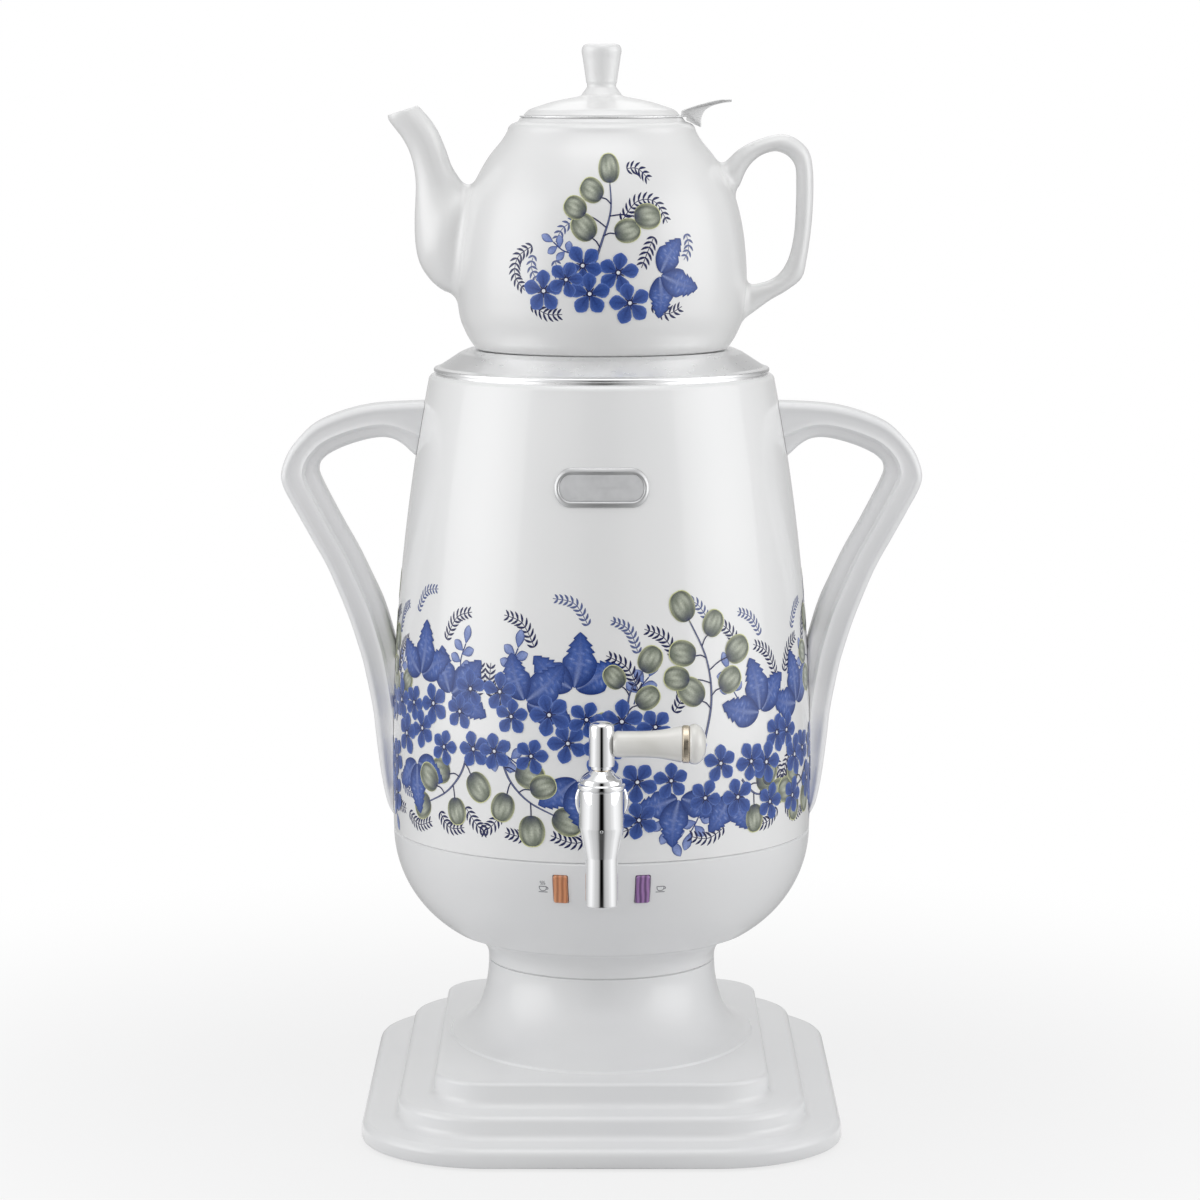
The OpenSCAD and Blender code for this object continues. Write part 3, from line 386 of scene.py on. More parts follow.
world = bpy.data.worlds.new("white tent")
scene.world = world
world.use_nodes = True
tree = world.node_tree
tree.nodes.clear()
heading = tree.nodes.new("ShaderNodeTexCoord")
tent, height = tent_brightness(tree, heading.outputs["Generated"])
overhead = node_range(tree, height, TOP_FROM, TOP_FULL, kind="SMOOTHSTEP")
tent_top = node_math(tree, "MULTIPLY", overhead, node_math(tree, "SUBTRACT", OVERHEAD, tent))
soft_box = node_range(tree, height, BOX_FROM, BOX_FULL, 0.0, TOP_BOX, "SMOOTHSTEP")
tent_top = node_math(tree, "ADD", tent_top, soft_box)
seen, shiny = ray_kinds(tree)
matt = node_math(tree, "SUBTRACT", node_math(tree, "SUBTRACT", 1.0, shiny), seen)
mirrored = node_math(tree, "MULTIPLY", node_math(tree, "ADD", tent, tent_top), shiny)
lit = node_math(tree, "ADD", mirrored, node_math(tree, "MULTIPLY", matt, SOFT_LIGHT))
sky = tree.nodes.new("ShaderNodeBackground")
sky.inputs["Color"].default_value = (1, 1, 1, 1)
tree.links.new(node_math(tree, "ADD", lit, seen), sky.inputs["Strength"])
out = tree.nodes.new("ShaderNodeOutputWorld")
tree.links.new(sky.outputs[0], out.inputs["Surface"])
scene.view_settings.view_transform = "Standard"
print("world: soft light", SOFT_LIGHT)

# %% [markdown]
# ## Two tall soft lamps, one above and one behind
# One tall lamp stands on each side, well round, so that the middle of the samovar stays
# a little darker than its flanks and every round part gets two tall soft highlights. A
# small soft lamp above brightens lid and shoulder and fades towards the base, and a
# wider one high behind gives the lid its broad shine. A single front lamp would flatten
# the white body.

# %% Lamps
def soft_lamp(name, azimuth, distance, up, aim_z, width, height, watts, spread):
    """Area lamp at an azimuth from the front; a narrow spread dims it towards its edges."""
    data = bpy.data.lights.new(name, "AREA")
    data.shape = "RECTANGLE"
    data.size = width
    data.size_y = height
    data.energy = watts
    data.spread = math.radians(spread)
    lamp = bpy.data.objects.new(name, data)
    a = math.radians(azimuth)
    lamp.location = (distance * math.sin(a), -distance * math.cos(a), up)
    aim = Vector((0, 0, aim_z)) - lamp.location
    lamp.rotation_euler = aim.to_track_quat("-Z", "Y").to_euler()
    scene.collection.objects.link(lamp)
    print(f"{name}: {watts} W at {azimuth} degrees")


# Name, azimuth, distance, height, height aimed at, width and height of the lamp, watts, spread
LAMPS = [("lamp_left", -74, 1.3, 0.45, 0.25, 1.3, 1.9, 3.1, 90),
         ("lamp_right", 74, 1.3, 0.45, 0.25, 1.3, 1.9, 3.1, 90),
         ("lamp_above", 0, 0.2, 1.05, 0.4, 0.6, 0.45, 0.35, 120),
         ("lamp_behind", 180, 1.2, 1.4, 0.3, 1.0, 0.9, 1.7, 180)]
for lamp in LAMPS:
    soft_lamp(*lamp)

# %% [markdown]
# ## How a finish is built
# White plastic, enamel and porcelain are all white and glossy, and differ only in small
# things: a faint waviness in what they mirror, tiny grain, a trace of colour. So each
# finish is one Principled shader with a colour, a roughness and maybe a clear coat, plus
# procedural noise that moves the colour, the roughness and the surface a little. Image
# textures would need unwrapping and would blur close up.

# %% Finish tools
def new_finish(name, colour, rough, metal=0.0, coat=0.0, coat_rough=0.04):
    """Material with one Principled shader, set to a plain colour."""
    finish = bpy.data.materials.new(name)
    finish.use_nodes = True
    finish.diffuse_color = (*colour, 1)
    shader = finish.node_tree.nodes["Principled BSDF"]
    shader.inputs["Base Color"].default_value = (*colour, 1)
    shader.inputs["Roughness"].default_value = rough
    shader.inputs["Metallic"].default_value = metal
    shader.inputs["Coat Weight"].default_value = coat
    shader.inputs["Coat Roughness"].default_value = coat_rough
    return finish


def grain(finish, size, detail=2.0, stretch=(1, 1, 1)):
    """Noise over the piece's own space, with features of about size millimetres."""
    tree = finish.node_tree
    space = tree.nodes.new("ShaderNodeTexCoord")
    sized = tree.nodes.new("ShaderNodeMapping")
    sized.inputs["Scale"].default_value = stretch
    noise_node = tree.nodes.new("ShaderNodeTexNoise")
    noise_node.inputs["Scale"].default_value = 1 / (size * MM)
    noise_node.inputs["Detail"].default_value = detail
    tree.links.new(space.outputs["Object"], sized.inputs["Vector"])
    tree.links.new(sized.outputs["Vector"], noise_node.inputs["Vector"])
    return noise_node.outputs["Fac"]


def two_colours(finish, share, one, other):
    """Colour between one and other, as the share runs from 0 to 1."""
    tree = finish.node_tree
    mix = tree.nodes.new("ShaderNodeMix")
    mix.data_type = "RGBA"
    mix.inputs["A"].default_value = (*one, 1)
    mix.inputs["B"].default_value = (*other, 1)
    tree.links.new(share, mix.inputs["Factor"])
    tree.links.new(mix.outputs["Result"], tree.nodes["Principled BSDF"].inputs["Base Color"])


def tinted(finish, size, other):
    """Lets the colour drift towards another colour in soft clouds."""
    drift = node_range(finish.node_tree, grain(finish, size), 0.35, 0.65)
    two_colours(finish, drift, finish.diffuse_color[:3], other)


def worn(finish, size, low, high, stretch=(1, 1, 1)):
    """Lets the roughness run between two values."""
    tree = finish.node_tree
    rough = node_range(tree, grain(finish, size, stretch=stretch), 0.3, 0.7, low, high)
    tree.links.new(rough, tree.nodes["Principled BSDF"].inputs["Roughness"])


def bumped(finish, size, height, detail=2.0, stretch=(1, 1, 1), coat_too=False):
    """Raises the surface by up to height millimetres, in bumps of about size."""
    tree = finish.node_tree
    bump = tree.nodes.new("ShaderNodeBump")
    bump.inputs["Distance"].default_value = height * MM
    bump.inputs["Strength"].default_value = 1.0
    tree.links.new(grain(finish, size, detail, stretch), bump.inputs["Height"])
    shader = tree.nodes["Principled BSDF"]
    tree.links.new(bump.outputs["Normal"], shader.inputs["Normal"])
    if coat_too:
        tree.links.new(bump.outputs["Normal"], shader.inputs["Coat Normal"])


# %% [markdown]
# ## The stepped base
# On the real thing this is one moulding in glossy white plastic: three low steps with
# rounded edges, like a plinth, and a flared neck that rises from a thin lip on the top
# tread. A stack of bevelled boxes would look like boxes. Here one outline of the step
# profile is carried round the base as rings, so the edges stay round at the corners
# too, and the inside is a second set of rings one wall further in.

# %% Base: sizes
base_w, base_d, base_corner = 209, 270, 57
base_low = 1
step_z = [9.5, 19.5, 30]
tread_w = 16
neck_r = 51
neck_z = 63.5
flare_foot = (68, 87)
lip_h = 1.3
wall = 2.6
corner_steps, side_steps = 24, 12


def step_ring(inset, z):
    """Rounded rectangle, drawn in by an inset, with a fixed count of points."""
    half_w, half_d, r = base_w / 2 - inset, base_d / 2 - inset, base_corner - inset
    ring = []
    for q in range(4):
        sx, sy = (1, 1, -1, -1)[q], (-1, 1, 1, -1)[q]
        for k in range(corner_steps + 1):
            a = math.radians(90 * (q - 1) + 90 * k / corner_steps)
            ring.append(Vector((sx * (half_w - r) + r * math.cos(a),
                                sy * (half_d - r) + r * math.sin(a), z)))
    full = []
    for i, p in enumerate(ring):
        n = ring[(i + 1) % len(ring)]
        full.append(p)
        if i % (corner_steps + 1) == corner_steps:
            full.extend(p.lerp(n, k / side_steps) for k in range(1, side_steps))
    return full


STEP_ANGLES = [math.atan2(p.y, p.x) for p in step_ring(2 * tread_w, 0)]


def oval_ring(rx, ry, z):
    """Oval whose points face those of the top step."""
    ring = []
    for a in STEP_ANGLES:
        r = 1 / math.hypot(math.cos(a) / rx, math.sin(a) / ry)
        ring.append(Vector((r * math.cos(a), r * math.sin(a), z)))
    return ring


def flare_ring(angle, drawn_in, top, foot_z):
    """Ring of the flared neck: 90 degrees at its foot, 0 at its top."""
    a = math.radians(angle)
    share = 1 - math.cos(a)
    rx = neck_r + (flare_foot[0] - neck_r) * share - drawn_in
    ry = neck_r + (flare_foot[1] - neck_r) * share - drawn_in
    return oval_ring(rx, ry, top - (top - foot_z) * math.sin(a))


# %% Base: mesh
profile = filleted([
    (0, base_low), (0, step_z[0], 3.4), (tread_w, step_z[0], 3.2), (tread_w, step_z[1], 3.0),
    (2 * tread_w, step_z[1], 3.4), (2 * tread_w, step_z[2], 2.6), (2 * tread_w + 3.2, step_z[2])])
rings = [step_ring(1.2, base_low)] + [step_ring(i, z) for i, z in profile[1:]]
rings.insert(1, step_ring(0.35, base_low + 0.35))
rings.insert(2, step_ring(0, base_low + 1.2))
for rise, out_by in ((0, 1.2), (0.2, 0.35), (lip_h * 0.55, 0), (lip_h * 0.9, -0.35), (lip_h, -1.1)):
    rings.append(oval_ring(flare_foot[0] + out_by, flare_foot[1] + out_by, step_z[2] + rise))
for angle in range(80, -1, -5):
    rings.append(flare_ring(angle, 0, neck_z, step_z[2] + lip_h))
rings.append(oval_ring(neck_r - 0.9, neck_r - 0.9, neck_z))
rings.append(oval_ring(12, 12, neck_z))
rings.append(oval_ring(12, 12, neck_z - 3))
for angle in range(5, 86, 10):
    rings.append(flare_ring(angle, wall, neck_z - 3, step_z[2] - wall))
inner = filleted([(2 * tread_w + wall + 2, step_z[2] - wall), (2 * tread_w + wall, step_z[2] - wall, 1),
                  (2 * tread_w + wall, step_z[1] - wall, 1), (tread_w + wall, step_z[1] - wall, 1),
                  (tread_w + wall, step_z[0] - wall, 1), (wall, step_z[0] - wall, 1), (wall, base_low)])
rings += [step_ring(i, z) for i, z in inner]
pedestal = make_mesh("base_moulding", *skinned(rings, closed=True))

white_plastic = new_finish("white_plastic", (0.83, 0.835, 0.84), 0.34, coat=0.6, coat_rough=0.09)
tinted(white_plastic, 60, (0.815, 0.82, 0.83))
bumped(white_plastic, 0.8, 0.0025, coat_too=True)
fit(pedestal, white_plastic, "samovar", ["pedestal"])

# %% [markdown]
# ## The bowl
# The bowl is a second plastic moulding that carries the boiler. It is turned, with a
# soft hollow where the round underside runs into the short collar. At the back a flat
# pad with two holes takes the mains inlet and the switch, and two slots in front take
# the lamps. Pad, holes and slots are cut with boolean cutters, because they break the
# round shape.

# %% Bowl
bowl_centre_r, bowl_curve_w, bowl_curve_h = 36.4, 57.13, 54.3
seam_z = 124
pad_y, pad_z, pad_h = 92.03, 107, 26
pad_x = (-38, 29)
lens_w, lens_h, lens_x, lens_z, lens_proud = 6.3, 12.6, 17.9, 112.4, 0.8


def bowl_r(z):
    """Radius of the bowl's outside above its collar."""
    s = (seam_z - z) / bowl_curve_h
    return bowl_centre_r + bowl_curve_w * math.sqrt(1 - s * s)


underside = [(bowl_r(z), z) for z in np.linspace(78.2, seam_z - 0.8, 40)]
hollow = bezier((neck_r, neck_z + 0.8), (neck_r - 0.2, neck_z + 7.5), (55.4, 74.6), underside[0], 14)
outside = [(neck_r - 0.8, neck_z)] + hollow + underside[1:] + [(bowl_r(seam_z) - 0.7, seam_z)]
inside = [(bowl_r(seam_z) - wall, seam_z)]
inside += [(bowl_r(z) - wall, z) for z in np.linspace(seam_z - 2, 80, 20)] + [(40, neck_z + 6)]
bowl = lathe("bowl_moulding", outside + inside + [(0, neck_z + 6), (0, neck_z)], 192)


def rounded_ring(w, h, y, r):
    """Upright rounded rectangle, w by h, at a depth y."""
    ring = []
    for q in range(4):
        sx, sy = (1, -1, -1, 1)[q], (1, 1, -1, -1)[q]
        for k in range(7):
            a = math.radians(90 * q + 15 * k)
            ring.append((sx * (w / 2 - r) + r * math.cos(a), y, sy * (h / 2 - r) + r * math.sin(a)))
    return ring


def box_at(name, w, d, h, place, r):
    """Block with rounded edges along its depth, w by d by h about its own middle."""
    return make_mesh(name, *skinned([rounded_ring(w, h, y, r) for y in (-d / 2, d / 2)]), place=place)


def on_bowl(side):
    """Place on the bowl's front wall, square to it, at a lamp; side is -1 or 1."""
    s = (seam_z - lens_z) / bowl_curve_h
    tilt = math.degrees(math.atan(bowl_curve_w / bowl_curve_h * s / math.sqrt(1 - s * s)))
    azimuth = math.degrees(math.asin(lens_x / bowl_r(seam_z)))
    return turn(side * azimuth, "Z") @ slide(0, -bowl_r(lens_z), lens_z) @ turn(tilt, "X")


cutters = [box_at("slot", lens_w + 0.5, 20, lens_h + 0.5, on_bowl(side), 0.8) for side in (-1, 1)]
pad_middle = (pad_x[0] + pad_x[1]) / 2
cutters.append(box_at("pad", pad_x[1] - pad_x[0], 20, pad_h, slide(pad_middle, pad_y + 10, pad_z), 5))
for x, w, h in ((0, 27.7, 18.7), (-27, 14.4, 20.8)):
    cutters.append(box_at("pad_hole", w, 20, h, slide(x, pad_y, pad_z), 0.8))
cut(bowl, cutters)
fit(bowl, white_plastic, "samovar", ["bowl"])

# %% [markdown]
# ## Two lamp lenses
# An orange lens shows that the water is being boiled, a violet one that it is kept
# warm. Each is a small block of clear tinted plastic, a little proud of the bowl, with
# ribs moulded behind its face that spread the lamp's light. Clear tinted plastic could
# be full glass, but a mostly solid tint with a clear coat reads the same at this size
# and stays free of noise. The ribs themselves are not modelled: their light and shade
# are painted into the tint as bright and dark upright bands.

# %% Lenses
lens_corner = 0.9


def lens(name, side):
    """Lens with a soft rounded face."""
    rings = []
    for inset, y in ((0, 6), (0, -0.25), (0.12, -0.55), (0.4, -0.74), (0.8, -lens_proud)):
        rings.append(rounded_ring(lens_w - 2 * inset, lens_h - 2 * inset, y, lens_corner))
    return make_mesh(name, *skinned(rings), place=on_bowl(side))


def lens_finish(name, colour, rib_shade):
    """Tinted clear plastic whose upright ribs are painted as bright and dark bands."""
    finish = new_finish(name, colour, 0.25, coat=1.0, coat_rough=0.05)
    tree = finish.node_tree
    shader = tree.nodes["Principled BSDF"]
    space = tree.nodes.new("ShaderNodeTexCoord")
    # Painted light and shade of the ribs: upright bands between the lens colour and a darker shade of it
    rib_light_bands = tree.nodes.new("ShaderNodeTexWave")
    rib_light_bands.wave_type = "BANDS"
    rib_light_bands.bands_direction = "X"
    rib_light_bands.inputs["Scale"].default_value = 150
    rib_light_bands.inputs["Distortion"].default_value = 1.5
    rib_light_bands.inputs["Detail"].default_value = 1.0
    tree.links.new(space.outputs["Object"], rib_light_bands.inputs["Vector"])
    two_colours(finish, rib_light_bands.outputs["Fac"], rib_shade, colour)
    shader.inputs["Subsurface Weight"].default_value = 0.25
    shader.inputs["Subsurface Radius"].default_value = (0.002, 0.001, 0.001)
    return finish


orange_lens = lens_finish("orange_lens", (0.74, 0.31, 0.14), (0.42, 0.15, 0.06))
violet_lens = lens_finish("violet_lens", (0.38, 0.19, 0.47), (0.11, 0.04, 0.16))
fit(lens("lens_boiling", -1), orange_lens, "samovar", ["lens_boil"])
fit(lens("lens_keep_warm", 1), violet_lens, "samovar", ["lens_warm"])

# %% [markdown]
# ## The enamelled boiler
# The outer shell is a drawn steel sheet with thick white enamel: widest just above the
# bowl, drawn in towards the top, and rolled inward at its edge. Enamel is glass melted
# onto steel. It is very smooth, so it mirrors what stands beside it at a glance, but a
# slight orange-peel waviness keeps the mirror from being perfect.

# %% Shell
belly_r, belly_z, arc_r = 93.9, 150, 914.5
shell_top, roll_r, shell_top_r = 328, 3, 77
sheet = 1.2


def shell_r(z):
    """Radius of the shell's outside at a height: one large arc."""
    return belly_r - arc_r + math.sqrt(arc_r ** 2 - (z - belly_z) ** 2)


roll_z = shell_top - roll_r
outside = [(shell_r(seam_z) - 0.5, seam_z + 0.15), (shell_r(seam_z), seam_z + 0.6)]
outside += [(shell_r(z), z) for z in np.linspace(seam_z + 1.5, roll_z, 72)]
for a in range(9, 91, 9):
    outside.append((shell_top_r - roll_r + roll_r * math.cos(math.radians(a)),
                    roll_z + roll_r * math.sin(math.radians(a))))
lip = [(71.9, shell_top), (71.7, shell_top - 0.2), (71.7, shell_top - sheet)]
inside = [(shell_top_r - roll_r, shell_top - sheet), (shell_top_r - sheet, roll_z)]
inside += [(shell_r(z) - sheet, z) for z in np.linspace(roll_z - 4, seam_z + 0.15, 30)]
shell = lathe("boiler_shell", outside + lip + inside, 256, closed=True)

white_enamel = new_finish("white_enamel", (0.885, 0.888, 0.888), 0.35, coat=0.9, coat_rough=0.09)
tinted(white_enamel, 90, (0.855, 0.86, 0.863))
bumped(white_enamel, 6.0, 0.006, detail=1.0, coat_too=True)
fit(shell, white_enamel, "samovar", ["body_shell"])

# %% [markdown]
# ## A bare badge
# A small oval plate sits on the front of the shell: a polished raised border round a
# field with a satin varnish. It is bent to the shell's curve. The field stays empty.
# Rings that run round the oval, each a step further in, give the border its section.
# Border and field are two pieces, because they are finished differently.

# %% Badge
badge_w, badge_h, badge_z = 46, 16.8, 285
BADGE_BORDER = ((2.7, -0.3), (0, -0.3), (0, 0.25), (0.15, 0.5), (0.6, 0.75), (1.2, 1.05), (1.6, 1.18),
                (2.0, 1.15), (2.35, 0.95), (2.6, 0.65), (2.7, 0.4))
BADGE_FIELD = ((2.75, -0.2), (2.75, 0.45), (3.0, 0.5), (4.5, 0.5), (6.5, 0.5), (8.35, 0.5))


def badge_ring(inset, height):
    """Oval ring on the shell, drawn in by inset and raised by height."""
    r = badge_h / 2 - inset
    straight = badge_w / 2 - badge_h / 2
    flat, ring = [], []
    for side in (1, -1):
        for k in range(37):
            a = math.radians(5 * k - 90)
            flat.append((side * (straight + r * math.cos(a)), side * r * math.sin(a)))
        flat.extend((side * straight * (1 - k / 12), side * r) for k in range(1, 24))
    for x, up in flat:
        radius = shell_r(badge_z + up) + height
        ring.append((radius * math.sin(x / belly_r), -radius * math.cos(x / belly_r), badge_z + up))
    return ring


border = make_mesh("badge_border", *skinned([badge_ring(*step) for step in BADGE_BORDER], closed=True))
polished_steel = new_finish("polished_steel", (0.56, 0.565, 0.57), 0.36, metal=0.7)
worn(polished_steel, 1.0, 0.3, 0.42)
bumped(polished_steel, 0.6, 0.003)
fit(border, polished_steel, "samovar", ["badge_plate"])
field = make_mesh("badge_field_bare", *skinned([badge_ring(*step) for step in BADGE_FIELD]))
satin_steel = new_finish("satin_steel", (0.66, 0.665, 0.675), 0.5, metal=0.2)
tinted(satin_steel, 6, (0.60, 0.605, 0.615))
bumped(satin_steel, 0.35, 0.004, stretch=(1, 1, 0.05))
fit(field, satin_steel, "samovar", ["badge_plate"])

# %% [markdown]
# ## Two side handles
# Each handle is a broad moulding in pale grey plastic. It leaves the shell near the top,
# turns down in a soft corner, and runs back to the shell low down. Its section has a thin
# rounded rim outside, a flat face, and a lower grip band inside, set off by a ridge.
# A swept curve can't change its section like that, so the section is drawn between
# matched points of the outer and the inner edge, and the part inside the shell is cut
# away with the shell's own shape.

# %% Handles
handle_reach, handle_top, handle_t = 48.6, 191.5, 22
core_foot, core_skin = 110, 0.12
# Matched points as [outer reach, outer height, inner reach, inner height], in percent
HANDLE_EDGES = [
    (-36, 100, -30, 86.2), (-22, 99.9, -21, 88), (-8, 99.75, -12, 90.1), (5, 99.55, -2, 91.5),
    (18, 99.2, 10, 91.8), (32, 98.5, 25, 91.1), (49, 97.2, 42, 89.7), (67, 95.2, 55, 88.1),
    (80, 92.6, 61.5, 86.8), (93, 88.5, 65.3, 85.5), (99.9, 83.7, 66.5, 84.1),
    (98, 80.2, 65.5, 82.8), (88.5, 75.5, 60, 79.7), (74, 68.8, 44, 71.9), (59, 61.9, 30, 65.5),
    (47.5, 55.2, 18.5, 59.4), (37.5, 48.6, 8, 53.5), (30.5, 43, 0.5, 47.5), (25, 37.9, -6, 40.7),
    (17.5, 28.2, -13, 28.2), (14.5, 21.4, -13, 21.4), (10, 12.5, -13, 12.5), (4.5, 6, -13, 6),
    (-3, 2.6, -13, 3.2)]


def handle_section(width):
    """Half section of a handle: distance from its outer edge, and half thickness there."""
    full = handle_t / 2
    s = min(1, width / 13)
    ridge = 0.58 * width
    last = width - 1.6 * s
    return [(0, 0), (0, full - 4), (0.25 * s, full - 2.2), (s, full - 0.9), (2.2 * s, full - 0.25),
            (3.0 * s, full - 0.2), (3.7 * s, full - 0.55), (4.4 * s, full - 0.7),
            (ridge - 1.9 * s, full - 0.7), (ridge - 0.9 * s, full - 0.45), (ridge, full),
            (ridge + 0.8 * s, full - 0.35), (ridge + 1.5 * s, full - 1.3),
            (ridge + 2.4 * s, full - 1.5), (last - s, full - 1.6), (last, full - 2.1),
            (width - 0.5 * s, full - 3.2), (width, full - 5), (width, 0)]


def handle(name, side):
    """One handle; side is -1 or 1."""
    rings = []
    for edge in smooth(HANDLE_EDGES, 5):
        outer, inner = (Vector((belly_r + out_by * handle_reach / 100, seam_z + up * handle_top / 100))
                        for out_by, up in (edge[:2], edge[2:]))
        width = (inner - outer).length
        half = [(outer.lerp(inner, d / width), y) for d, y in handle_section(width)]
        ring = [(side * p.x, y, p.y) for p, y in half]
        ring += [(side * p.x, -y, p.y) for p, y in half[-2:0:-1]]
        rings.append(ring)
    piece = make_mesh(name, *skinned(rings))
    side_line = [(shell_r(z) + core_skin, z) for z in np.linspace(core_foot, shell_top, 60)]
    core = lathe("shell_core", [(0, core_foot)] + side_line + [(0, shell_top)], 240)
    return cut(piece, [core])


handle_plastic = new_finish("handle_plastic", (0.88, 0.882, 0.89), 0.34, coat=0.5, coat_rough=0.12)
tinted(handle_plastic, 50, (0.865, 0.87, 0.88))
bumped(handle_plastic, 0.5, 0.004)
for hand, side in (("left", -1), ("right", 1)):
    fit(handle("side_handle_" + hand, side), handle_plastic, "samovar", ["handle_" + hand])

# %% [markdown]
# ## The tap
# The tap is turned brass with bright chrome: an outlet tube with a rounded lip, a
# tapering barrel that holds the plug, a domed bonnet over a small bead, and a cap on
# the stem that carries the lever. Chrome shows every wobble of its outline, so each
# corner gets a true fillet and the turning has many sides.

# %% Tap
tap_y, tap_z = 118, 152
barrel_r, barrel_low, barrel_top = 9.6, 143, 161
tube_r, bore_r, outlet_z, tube_top = 6.9, 5, 111, 132
cap_r, cap_z, cap_top = 5.4, 170.7, 189.7
stem_r, plug_r, shank_r = 3.5, 6.45, 7
on_tap = slide(0, -tap_y, 0)

play = 0.05
tap_outside = filleted([
    (bore_r, outlet_z + 0.9), (bore_r + 0.3, outlet_z, 0.4), (tube_r, outlet_z, 1.7),
    (tube_r, tube_top, 2.5), (barrel_r - 1.0, barrel_low - 2.2, 3), (barrel_r, barrel_low + 2, 4),
    (barrel_r, barrel_top, 0.6), (plug_r + play, barrel_top)])
tap_inside = [(plug_r + play, barrel_low - 4), (bore_r, barrel_low - 4)]
tap_points, tap_faces = turned(tap_outside + tap_inside, closed=True, sides=128)
shank_bore, shank_l = 4.2, 61
shank = filleted([(shank_bore, -0.5), (shank_r + 1.3, -0.5), (shank_r + 1.3, 4.4, 0.8), (shank_r, 4.4, 0.5),
                  (shank_r, shank_l), (shank_bore, shank_l)])
shank_points, shank_faces = turned(shank, closed=True, sides=96)
along = slide(0, -tap_y + barrel_r - 1.2, tap_z) @ turn(-90, "X")
shank_points = [tuple((on_tap.inverted() @ along) @ Vector(p)) for p in shank_points]
add_part(tap_points, tap_faces, (shank_points, shank_faces))
tap = make_mesh("tap_body_turned", tap_points, tap_faces, place=on_tap)

chrome = new_finish("chrome", (0.90, 0.905, 0.915), 0.04, metal=1.0)
worn(chrome, 6, 0.02, 0.045)
bumped(chrome, 7.0, 0.004, detail=0.5)
fit(tap, chrome, "samovar", ["tap_body"])

# %% Tap: bonnet, cap and escutcheon
bonnet_line = filleted([(r, barrel_top + h, *arc) for r, h, *arc in (
    (stem_r + play, 0), (barrel_r + 0.45, 0, 0.7), (barrel_r + 0.45, 2.3, 0.9), (barrel_r - 0.6, 2.5, 0.3),
    (barrel_r - 0.9, 4.4, 3.2), (stem_r + 2.2, 6.6, 2.4), (stem_r + 0.9, 8.2, 0.4), (stem_r + play, 8.2))])
bonnet = lathe("tap_bonnet_turned", bonnet_line, 128, closed=True, place=on_tap)
fit(bonnet, chrome, "samovar", ["tap_bonnet"])

cap_line = filleted([
    (0, cap_z - 1.3), (4.3, cap_z - 1.3, 0.3), (4.3, cap_z, 0.3), (cap_r, cap_z, 0.6),
    (cap_r, cap_top - 0.9, 2.2), (2.6, cap_top, 3.0), (0, cap_top)], steps=8)
cap = lathe("tap_cap_turned", cap_line, 96, place=on_tap)
fit(cap, chrome, "tap_handle", ["tap_cap"])

escutcheon_r, escutcheon_out = 11.5, 2.6
escutcheon_line = filleted([
    (shank_r + 0.1, 3.4), (escutcheon_r, 3.4), (escutcheon_r, 0.3, 1.3), (9.2, -0.1, 1.2), (8.6, 0.5, 0.5),
    (shank_r + 0.1, 0.5)])
escutcheon_place = slide(0, -shell_r(tap_z) - escutcheon_out, tap_z) @ turn(-90, "X")
escutcheon = lathe("tap_escutcheon_turned", escutcheon_line, 128, closed=True, place=escutcheon_place)
fit(escutcheon, chrome, "samovar", ["tap_escutcheon"])

# %% [markdown]
# ## The retaining pin
# A small round-headed pin low on the barrel keeps the plug from lifting out. It is turned
# like the tap, and lies on its side.

# %% Pin
pin_z = barrel_low + 1.5
pin_line = filleted([(0, 0), (1.05, 0), (1.05, 3.2, 0.7), (0.4, 3.7, 0.4), (0, 3.7)])
pin_place = slide(0, -tap_y - plug_r + 0.5, pin_z) @ turn(90, "X")
pin = lathe("plug_pin", pin_line, 32, place=pin_place)
steel = new_finish("steel", (0.55, 0.56, 0.57), 0.28, metal=1.0)
worn(steel, 1.2, 0.2, 0.4)
bumped(steel, 0.4, 0.003)
fit(pin, steel, "samovar", ["tap_pin"])

# %% [markdown]
# ## The lever
# A grip of ivory-coloured plastic swells towards its end, where a bronze-toned ring
# holds a round ivory bead. The plastic imitates horn: glossy, with faint streaks along
# the grip. All three are turned round the lever's own axis and ride with the tap's cap.

# %% Lever
lever_z, grip_l, ring_l, bead_l = 180.2, 28.5, 3, 7.2
rod_r = 2.25
grip_end = cap_r + grip_l
on_lever = slide(0, -tap_y, lever_z) @ turn(90, "Y")
grip_swell = smooth([(5.6, cap_r + 1.6), (5.55, cap_r + 8), (5.65, cap_r + 14), (6.1, cap_r + 19.5),
                     (7.1, cap_r + 25), (7.65, grip_end - 0.9)], 8)
grip_line = [(rod_r, cap_r - 0.6), (4.6, cap_r - 0.6), (5.2, cap_r + 0.1), (5.5, cap_r + 0.8)]
grip_line += grip_swell + [(7.6, grip_end - 0.3), (7.3, grip_end), (rod_r, grip_end)]
grip = lathe("lever_grip_turned", grip_line, 96, closed=True, place=on_lever)

ivory_plastic = new_finish("ivory_plastic", (0.84, 0.83, 0.80), 0.22, coat=0.8, coat_rough=0.05)
tinted(ivory_plastic, 14, (0.76, 0.75, 0.71))
bumped(ivory_plastic, 3.0, 0.006, stretch=(0.2, 1, 1))
fit(grip, ivory_plastic, "tap_handle", ["lever_grip"])

bead_z = grip_end + ring_l
ring_line = filleted([(rod_r, grip_end), (7.3, grip_end), (7.95, grip_end + 0.25, 0.3),
                      (7.95, bead_z - 0.25, 0.3), (7.3, bead_z), (rod_r, bead_z)])
ring = lathe("lever_ring_turned", ring_line, 96, closed=True, place=on_lever)
bronze_ring = new_finish("bronze_ring", (0.74, 0.65, 0.52), 0.3, metal=1.0)
worn(bronze_ring, 1.5, 0.24, 0.4)
bumped(bronze_ring, 0.6, 0.004)
fit(ring, bronze_ring, "tap_handle", ["lever_ring"])

